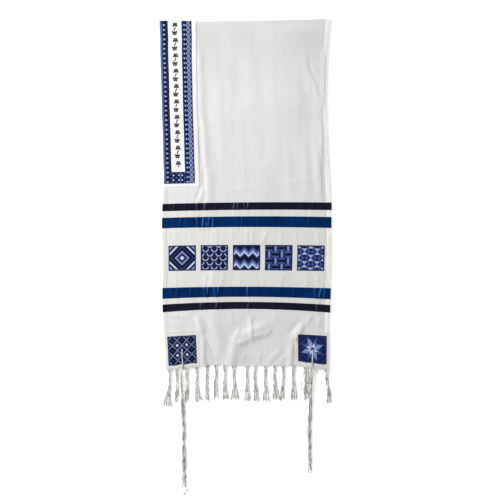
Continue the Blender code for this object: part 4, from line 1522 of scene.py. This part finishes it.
# Slack yarn beside the right corner's tassel: each loop's place, size and slant, and its height.
Loop = namedtuple("Loop", "across width drop lean lift")
SLACK_LOOPS = [
    Loop(*row)
    for row in (
        (432, 5.5, 67, -7, 5.0),
        (439, 3.6, 52, 1, 4.4),
        (441, 2.4, 28, 4, 5.2),
        (446, 3.0, 41, 2, 3.6),
        (450, 2.6, 19, -3, 5.6),
        (461, 3.0, 21, 3, 5.0),
        (468, 2.2, 13, 3, 4.2),
    )
]
HEM_ROLL, LOWER_HEIGHT, LOWER_LENGTH = 1.6, 0.8, 86.0
luck = np.random.default_rng(7)


def two_ply(path, radius, depth, pitch, away=(0, 0, 1)):
    """A yarn of two plies: a tube with two lobes, which turn round it once in each pitch."""
    return tube(path, radius, 8, 2, depth, pitch, away)


def hem_place(across, front=True):
    """A point just outside the hem, level with the cloth's middle."""
    along = FRONT_LENGTH if front else -BACK_LENGTH
    point = on_cloth(np.asarray(across, float), along, 0.0)
    point[..., 1] -= HEM_ROLL
    if not front:
        point[..., 2] = LOWER_HEIGHT
    return point


def tassel_cord(tassel, number, sway):
    """A cord's path: in to the binding, then out in a slow S, with the yarn's small crimps."""
    root = hem_place(tassel.across)
    drop = np.arange(0, CUT_SHARE * tassel.length, CORD_STEP)
    share = drop / tassel.length
    first, bound = ROOT_OFFSETS[number], BOUND_OFFSETS[number]
    tip = (-1.0, -0.36, 0.36, 1.0)[number] * tassel.flare * 0.86
    opening = smooth_step((share - 0.3) / 0.75) ** 1.25
    offset = first + (bound - first) * smooth_step(drop / BOUND_DROP) + (tip - bound) * opening
    loose = smooth_step((drop - BOUND_DROP) / 12)
    wander = sway[0] * np.sin(2 * np.pi * (share * sway[1] + sway[2])) * loose
    crimp = CRIMP * np.sin(drop / CRIMP_LENGTH + 2.2 * number + sway[2] * 9) * loose
    x = root[0] + offset + tassel.lean * share + wander + crimp
    y = root[1] + 0.8 - drop
    lift = (0.5 * np.sin(drop / 5.1 + 1.9 * number) + 0.9 * (number % 2)) * loose
    z = root[2] + (TIP_HEIGHT - root[2]) * smooth_step(drop / TIP_REACH) + lift
    return np.stack([x, y, z], axis=-1)


def loose_threads(path, count, spread, length):
    """Threads that start inside a cord's end and fan out past it, each with a curl of its own."""
    inside = -17
    start, ahead = path[inside], path[-1] - path[inside]
    ahead = ahead / np.linalg.norm(ahead)
    threads = []
    for number in range(count):
        reach = length * luck.uniform(0.8, 1.08)
        share = np.linspace(0, 1, 8)[:, None]
        aside = spread * (2 * (number + 0.5) / count - 1) + luck.uniform(-0.5, 0.5)
        curl = luck.uniform(-0.8, 0.8)
        out = aside * share**1.4 + curl * np.sin(share * 5)
        points = start + ahead * share * reach + np.array([1.0, 0, 0]) * out
        points[:, 2] += (luck.uniform(-0.9, 0.5) * share)[:, 0]
        points[:, 2] = np.maximum(points[:, 2], LEAST_HEIGHT)
        threads.append(tube(points, THREAD_RADIUS * (1 - 0.35 * share[:, 0]), 5))
    return threads


def wraps(centre, radii, count, pitch, thread, tilt=0.22):
    """Turns of yarn round a bundle that runs down -Y: tilted ovals, one below the next."""
    turn = np.linspace(0, 2 * np.pi, 18, endpoint=False)
    rings = []
    for number in range(count):
        down = (number - (count - 1) / 2) * pitch
        x = centre[0] + radii[0] * np.cos(turn)
        y = centre[1] - down + tilt * radii[0] * np.cos(turn + number)
        z = centre[2] + radii[1] * np.sin(turn)
        rings.append(tube(np.stack([x, y, z], axis=-1), thread, 6, away=(0, 1, 0), closed=True))
    return rings


def slack_loop(loop):
    """Yarn left slack: a long drop-shaped loop whose two ends go back into the hem."""
    root = hem_place(loop.across)
    turn = np.linspace(0, np.pi, 64)
    x = root[0] + loop.width * np.sin(2 * turn) + loop.lean * np.sin(turn)
    x = x + 0.5 * np.sin(9 * turn + loop.across) * np.sin(turn)
    y = root[1] + 0.8 - loop.drop * np.sin(turn)
    z = root[2] + (loop.lift - root[2]) * np.sin(turn) + 0.5 * np.sin(2 * turn)
    return two_ply(np.stack([x, y, z], axis=-1), 1.05, 0.25, 5.0)


def make_upper_fringe():
    """The hem's roll, the tassels with their bindings and loose ends, and slack loops of yarn."""
    roll = hem_place(np.linspace(0.8, WIDTH - 0.8, 240))
    roll[:, 2] += 0.5
    parts = [two_ply(roll, 1.15, 0.2, 5.5)]
    for tassel in TASSELS:
        sway = (luck.uniform(1.0, 2.6), luck.uniform(0.7, 1.4), luck.uniform(0, 1))
        cords = [tassel_cord(tassel, number, sway) for number in range(4)]
        count = tassel.flare // 3 + 2
        fan, loose = FAN_SHARE * tassel.flare, LOOSE_SHARE * tassel.length
        for cord in cords:
            taper = 1 - 0.35 * smooth_step((np.arange(len(cord)) / len(cord) - 0.75) * 4)
            parts.append(two_ply(cord, CORD_RADIUS * taper, 0.3, 7.0))
            parts += loose_threads(cord, count, fan, loose)
        bound = np.mean([cord[13] for cord in cords], axis=0)
        parts += wraps(bound, (4.7, 1.9), count=2, pitch=1.8, thread=0.8)
        for pair in (cords[:2], cords[2:]):
            root = np.mean([cord[1] for cord in pair], axis=0)
            parts += wraps(root, (2.7, 1.9), count=2, pitch=1.6, thread=0.8, tilt=0.35)
    parts += [slack_loop(loop) for loop in SLACK_LOOPS]
    return add_parts("fringe_upper", parts, FRINGE_YARN, ["fringe_front"])


def make_lower_fringe():
    """The lower half's fringe, flat on the table under the upper one."""
    roll = hem_place(np.linspace(0.8, WIDTH - 0.8, 80), False)
    parts = [tube(roll, 0.7, 6)]
    share = np.linspace(0, 1, 14)
    for tassel in TASSELS:
        root = hem_place(tassel.across, False)
        for offset in (-3.0, -1.0, 1.0, 3.0):
            crimp = 0.4 * np.sin(share * 22 + offset)
            x = root[0] + offset * (1 + 0.5 * share) + tassel.lean * share + crimp
            path = np.stack([x, root[1] - LOWER_LENGTH * share, 0.72 + 0 * x], axis=-1)
            parts.append(tube(path, 0.62, 6))
    return add_parts("fringe_lower", parts, FRINGE_YARN, ["fringe_back"])


upper_fringe = make_upper_fringe()
lower_fringe = make_lower_fringe()

# %% [markdown]
# ## Corner tassels
#
# Four long wool strings go through each eyelet and hang double, so eight ends leave the knots. Over
# the corner they lie on one another, and only two are made. The longest string is wound round the
# others between five double knots, and each of its coils is one helix. The free ends wander: each
# is pushed aside by slow noise, so they cross and part.

# %% Routes and heights
# Each tassel's middle line: how far down it is from the origin, which is -Y, and X there.
ROUTES = {
    "left": (
        (345, 371, 407, 455, 506, 554, 611, 656, 690, 720),
        (-192.5, -193.5, -191.0, -188.5, -185.5, -185.5, -184.5, -184.0, -185.5, -189.0),
    ),
    "right": (
        (345, 371, 407, 455, 506, 554, 595, 625, 650),
        (196.5, 197.0, 195.0, 193.5, 191.5, 191.5, 191.5, 192.5, 195.0),
    ),
}
KNOTS, KNOT_LENGTH, STEM_LENGTH = 5, 7.0, 62.0
KNOT_RINGS = ((-2.3, 0.55), (-0.8, 0.95), (0.8, 0.95), (2.3, 0.55))
COIL_TURNS = 5
STRINGS = 8
# Where a turn of yarn draws the strings together, how thick each stem's core and coil are, how far
# apart the strings hang, and how far before the end of the route the last one stops.
NIPS = {"left": (417.0, 554.0, 647.0), "right": (500.0, 611.0)}
STEM_YARN = {"left": (1.4, 0.62), "right": (2.3, 0.8)}
SPACING = {"left": 2.5, "right": 2.6}
SHORT_OF_ROUTE = {"left": 28.0, "right": 0.0}
STRING_RADIUS = 0.95
STEM_HEIGHTS, STRING_HEIGHTS = (9.0, 7.4), (7.2, 2.4)


def route_x(side, y):
    """X of a corner tassel's middle line at that Y."""
    down, x = ROUTES[side]
    return smooth_curve(-np.asarray(y, float), down, x)


def make_stem(side, top_y, heights, core, coil):
    """A core, five knots of wrapped yarn, and a coil between each two knots."""
    ends = top_y - np.array([0.0, STEM_LENGTH])

    def height(y):
        return np.interp(-np.asarray(y), -ends, heights)

    y = np.linspace(*ends, 20)
    parts = [tube(np.stack([route_x(side, y), y, height(y)], axis=-1), core, 8)]
    pitch = (STEM_LENGTH - KNOT_LENGTH) / (KNOTS - 1)
    for number in range(KNOTS):
        middle = top_y - KNOT_LENGTH / 2 - number * pitch
        centre = (route_x(side, middle), middle, height(middle))
        for step, swell in KNOT_RINGS:
            place = (centre[0] + 0.25 * step, centre[1] + step, centre[2])
            reach = core + swell
            tilt = 0.3 * (-1) ** number
            parts += wraps(place, (reach, reach * 0.94), count=1, pitch=0, thread=0.95, tilt=tilt)
        if number < KNOTS - 1:
            turn = np.linspace(0, 2 * np.pi * COIL_TURNS, 15 * COIL_TURNS)
            y = middle - KNOT_LENGTH / 2 - (pitch - KNOT_LENGTH) * turn / turn[-1]
            x = route_x(side, y) + (core + coil * 0.6) * np.cos(turn)
            z = height(y) + (core + coil * 0.6) * np.sin(turn)
            parts.append(tube(np.stack([x, y, z], axis=-1), coil, 6, away=(0, 1, 0)))
    return parts


def make_strings(side, first_y, last_y):
    """Eight twisted strings from the last knot to their staggered, slightly frayed tips."""
    first_z, low_z = STRING_HEIGHTS
    parts = []
    for number in range(STRINGS):
        place, row = number % 4, number // 4
        stagger = 9.0 * ((3 * place + 2 * row) % 4) + luck.uniform(0, 4)
        y = np.arange(first_y, last_y + stagger, -1.3)
        drop = first_y - y
        share = drop / (first_y - last_y)
        nip = sum(0.5 * np.exp(-(((y + at) / 8) ** 2)) for at in NIPS[side])
        width = (0.42 + 0.58 * smooth_step(drop / 40)) * (1 - nip)
        seed = 60 + number + 10 * (side == "right")
        slow = 2.5 * soft_noise(y, 3.3 * number, 34, 1, seed)
        quick = 0.8 * soft_noise(y, 5.1 * number, 11, 1, seed + 20)
        home = (place - 1.5) * SPACING[side] * (1 + 0.2 * share)
        x = route_x(side, y) + (home + (slow + quick) * smooth_step(drop / 25)) * width
        ripple = 0.5 * soft_noise(y, 0.0, 16, 1, seed + 40)
        z = first_z + (low_z - first_z) * smooth_step(drop / 70) + row * 1.8 + ripple
        path = np.stack([x, y, np.maximum(z, 1.2)], axis=-1)
        parts.append(two_ply(path, STRING_RADIUS, 0.28, 6.5))
        parts += loose_threads(path, 3, 1.4, 20.0)
    return parts


def rounded(path, count, rounds):
    """The path in even steps, its corners rounded by averaging each point with its neighbours."""
    steps = np.linalg.norm(np.diff(path, axis=0), axis=1)
    travelled = np.concatenate([[0], np.cumsum(steps)])
    even = np.linspace(0, travelled[-1], count)
    path = np.stack([np.interp(even, travelled, path[:, axis]) for axis in range(3)], axis=-1)
    for _ in range(rounds):
        path[1:-1] = (path[:-2] + 2 * path[1:-1] + path[2:]) / 4
    return path


def eyelet_string(side, aside, start, hem_y):
    """A string's loop: from the stem up over the corner, down the eyelet, and back below it."""
    across, along = EYELETS[side]
    edge = on_cloth(across, FRONT_LENGTH + 1.0, 0.0)
    run = np.linspace(FRONT_LENGTH - 3, along + EYELET_RADIUS + 0.6, 16)
    over = on_cloth(across + aside * np.linspace(1.0, 0.55, 16), run, LEVEL_2[1] + 1.35)
    hole_run = along + np.array([1.6, 0.9, 1.6])
    hole = on_cloth(across + 0.6 * aside, hole_run, 0.0)
    hole[:, 2] += (1.9, 0.0, -1.4)
    run_back = np.linspace(along + EYELET_RADIUS, FRONT_LENGTH - 3, 12)
    under = on_cloth(across + 0.8 * aside, run_back, -WALL / 2 - 0.95)
    lead = np.array([[edge[0] + aside, hem_y - 1.5, edge[2] + 3.0]])
    leave = np.array([[edge[0] + aside, hem_y - 2.5, edge[2] - 1.6]])
    path = np.concatenate([[start], lead, over, hole, under, leave, [start - (0, 0, 1.2)]])
    return two_ply(rounded(path, 150, 3), STRING_RADIUS, 0.22, 6.5, away=(1, 0, 0))


# The left tassel's longest string, which curls back near its tip.
CURL_Y = (-640, -655, -668, -680, -688, -694, -700, -707, -714)
CURL_X = (-182, -183, -182.5, -181.5, -179, -176.5, -178.5, -183, -187)


def curled_string():
    """A smooth curve through the places above, level on the table."""
    knots = np.arange(len(CURL_Y))
    fine = np.linspace(0, len(knots) - 1, 60)
    x, y = smooth_curve(fine, knots, CURL_X), smooth_curve(fine, knots, CURL_Y)
    return two_ply(np.stack([x, y, np.full(60, 1.7)], axis=-1), 1.35, 0.22, 6.5)


def make_upper_corner_tassel(side):
    """Loop, stem and strings of one upper corner."""
    hem_y = float(hem_place(EYELETS[side][0])[1])
    top_y = hem_y - 12.0
    last_y = SHORT_OF_ROUTE[side] - max(ROUTES[side][0])
    parts = make_stem(side, top_y, STEM_HEIGHTS, *STEM_YARN[side])
    start = np.array([float(route_x(side, top_y)), top_y - 2.0, 9.3])
    parts += [eyelet_string(side, aside, start, hem_y) for aside in (-1.1, 1.1)]
    parts += make_strings(side, top_y - STEM_LENGTH + 3, last_y)
    if side == "left":
        parts.append(curled_string())
    for at in NIPS[side]:
        centre = (float(route_x(side, -at)), -at, 2.9)
        parts += wraps(centre, (2.7, 1.6), count=2, pitch=1.5, thread=0.8, tilt=0.5)
    add_parts(f"tzitzit_upper_{side}", parts, TZITZIT_WOOL, [f"tzitzit_front_{side}"])


def make_lower_corner_tassel(side):
    """The lower corner's tassel, which lies hidden under the upper one."""
    hem_y = float(hem_place(EYELETS[side][0])[1])
    top_y = hem_y - 23.0
    parts = make_stem(side, top_y, (3.4, 3.3), 1.5, 0.55)
    neck_y = np.linspace(hem_y - 7.0, top_y - 1, 10)
    for aside in (-1.1, 1.1):
        x = route_x(side, neck_y) + aside
        z = np.linspace(1.0, 3.2, 10)
        parts.append(tube(np.stack([x, neck_y, z], axis=-1), 0.8, 6))
    last_y = -max(ROUTES[side][0]) + 74
    y = np.linspace(top_y - STEM_LENGTH + 2, last_y, 40)
    for number in range(STRINGS):
        place, row = number % 4, number // 4
        x = route_x(side, y) + (place - 1.5) * 1.3 * (0.6 + 0.4 * smooth_step((y[0] - y) / 30))
        z = np.interp(y[0] - y, [0, 20], [2.8 + row, 1.0 + 1.3 * row])
        parts.append(tube(np.stack([x, y, z], axis=-1), 0.7, 6))
    add_parts(f"tzitzit_lower_{side}", parts, TZITZIT_WOOL, [f"tzitzit_back_{side}"])


for side in ("left", "right"):
    make_upper_corner_tassel(side)
    make_lower_corner_tassel(side)

# %% [markdown]
# ## Sewn pieces
#
# The sewn pieces lie on it and follow its shape.

# %% [markdown]
# ## Floor, light and camera
#
# The shawl lies on a pale floor, lit a little from below as on a light table. One long soft lamp
# at the upper left leaves each crease a light left flank and a shaded right one, and a pale room
# fills the shadows. The camera looks straight down.

# %% Floor
scene = bpy.context.scene
floor_mesh = bpy.data.meshes.new("floor")
far = 6.0
floor_corners = [(-far, -far, 0), (far, -far, 0), (far, far, 0), (-far, far, 0)]
floor_mesh.from_pydata(floor_corners, [], [(0, 1, 2, 3)])
floor_paint = bpy.data.materials.new("floor_paint")
floor_paint.use_nodes = True
floor_shader = floor_paint.node_tree.nodes["Principled BSDF"]
floor_shader.inputs["Base Color"].default_value = linear("#FBFBFA")
floor_shader.inputs["Roughness"].default_value = 0.9
floor_shader.inputs["Emission Color"].default_value = linear("#FFFFFF")
floor_shader.inputs["Emission Strength"].default_value = 0.42
floor_mesh.materials.append(floor_paint)
floor = bpy.data.objects.new("floor", floor_mesh)
scene.collection.objects.link(floor)

# %% Light
world = bpy.data.worlds.new("studio")
world.use_nodes = True
room = world.node_tree.nodes["Background"]
room.inputs["Color"].default_value = (0.97, 0.985, 1.0, 1.0)
room.inputs["Strength"].default_value = 0.42
scene.world = world
lamp_data = bpy.data.lights.new("window", "AREA")
lamp_data.shape = "RECTANGLE"
lamp_data.size = 3.4
lamp_data.size_y = 1.2
lamp_data.energy = 129.0
lamp = bpy.data.objects.new("window", lamp_data)
lamp.location = (-2.3, 1.5, 1.9)
# The lamp is turned to face the middle of the shawl.
direction = np.array(lamp.location)
lamp.rotation_euler = (
    np.arctan2(np.hypot(direction[0], direction[1]), direction[2]),
    0.0,
    np.arctan2(direction[0], -direction[1]),
)
scene.collection.objects.link(lamp)
print("one lamp of", lamp_data.energy, "watts")
scene.view_settings.view_transform = "Standard"

# %% Camera
# The frame is 1.5 m wide: 36 mm of sensor behind a 100 mm lens, seen from 4.17 m.
camera_data = bpy.data.cameras.new("camera")
camera_data.lens = 100.0
camera_data.sensor_width = 36.0
camera = bpy.data.objects.new("camera", camera_data)
camera.location = (0.0129, 0.0226, 4.17)
scene.collection.objects.link(camera)
scene.camera = camera
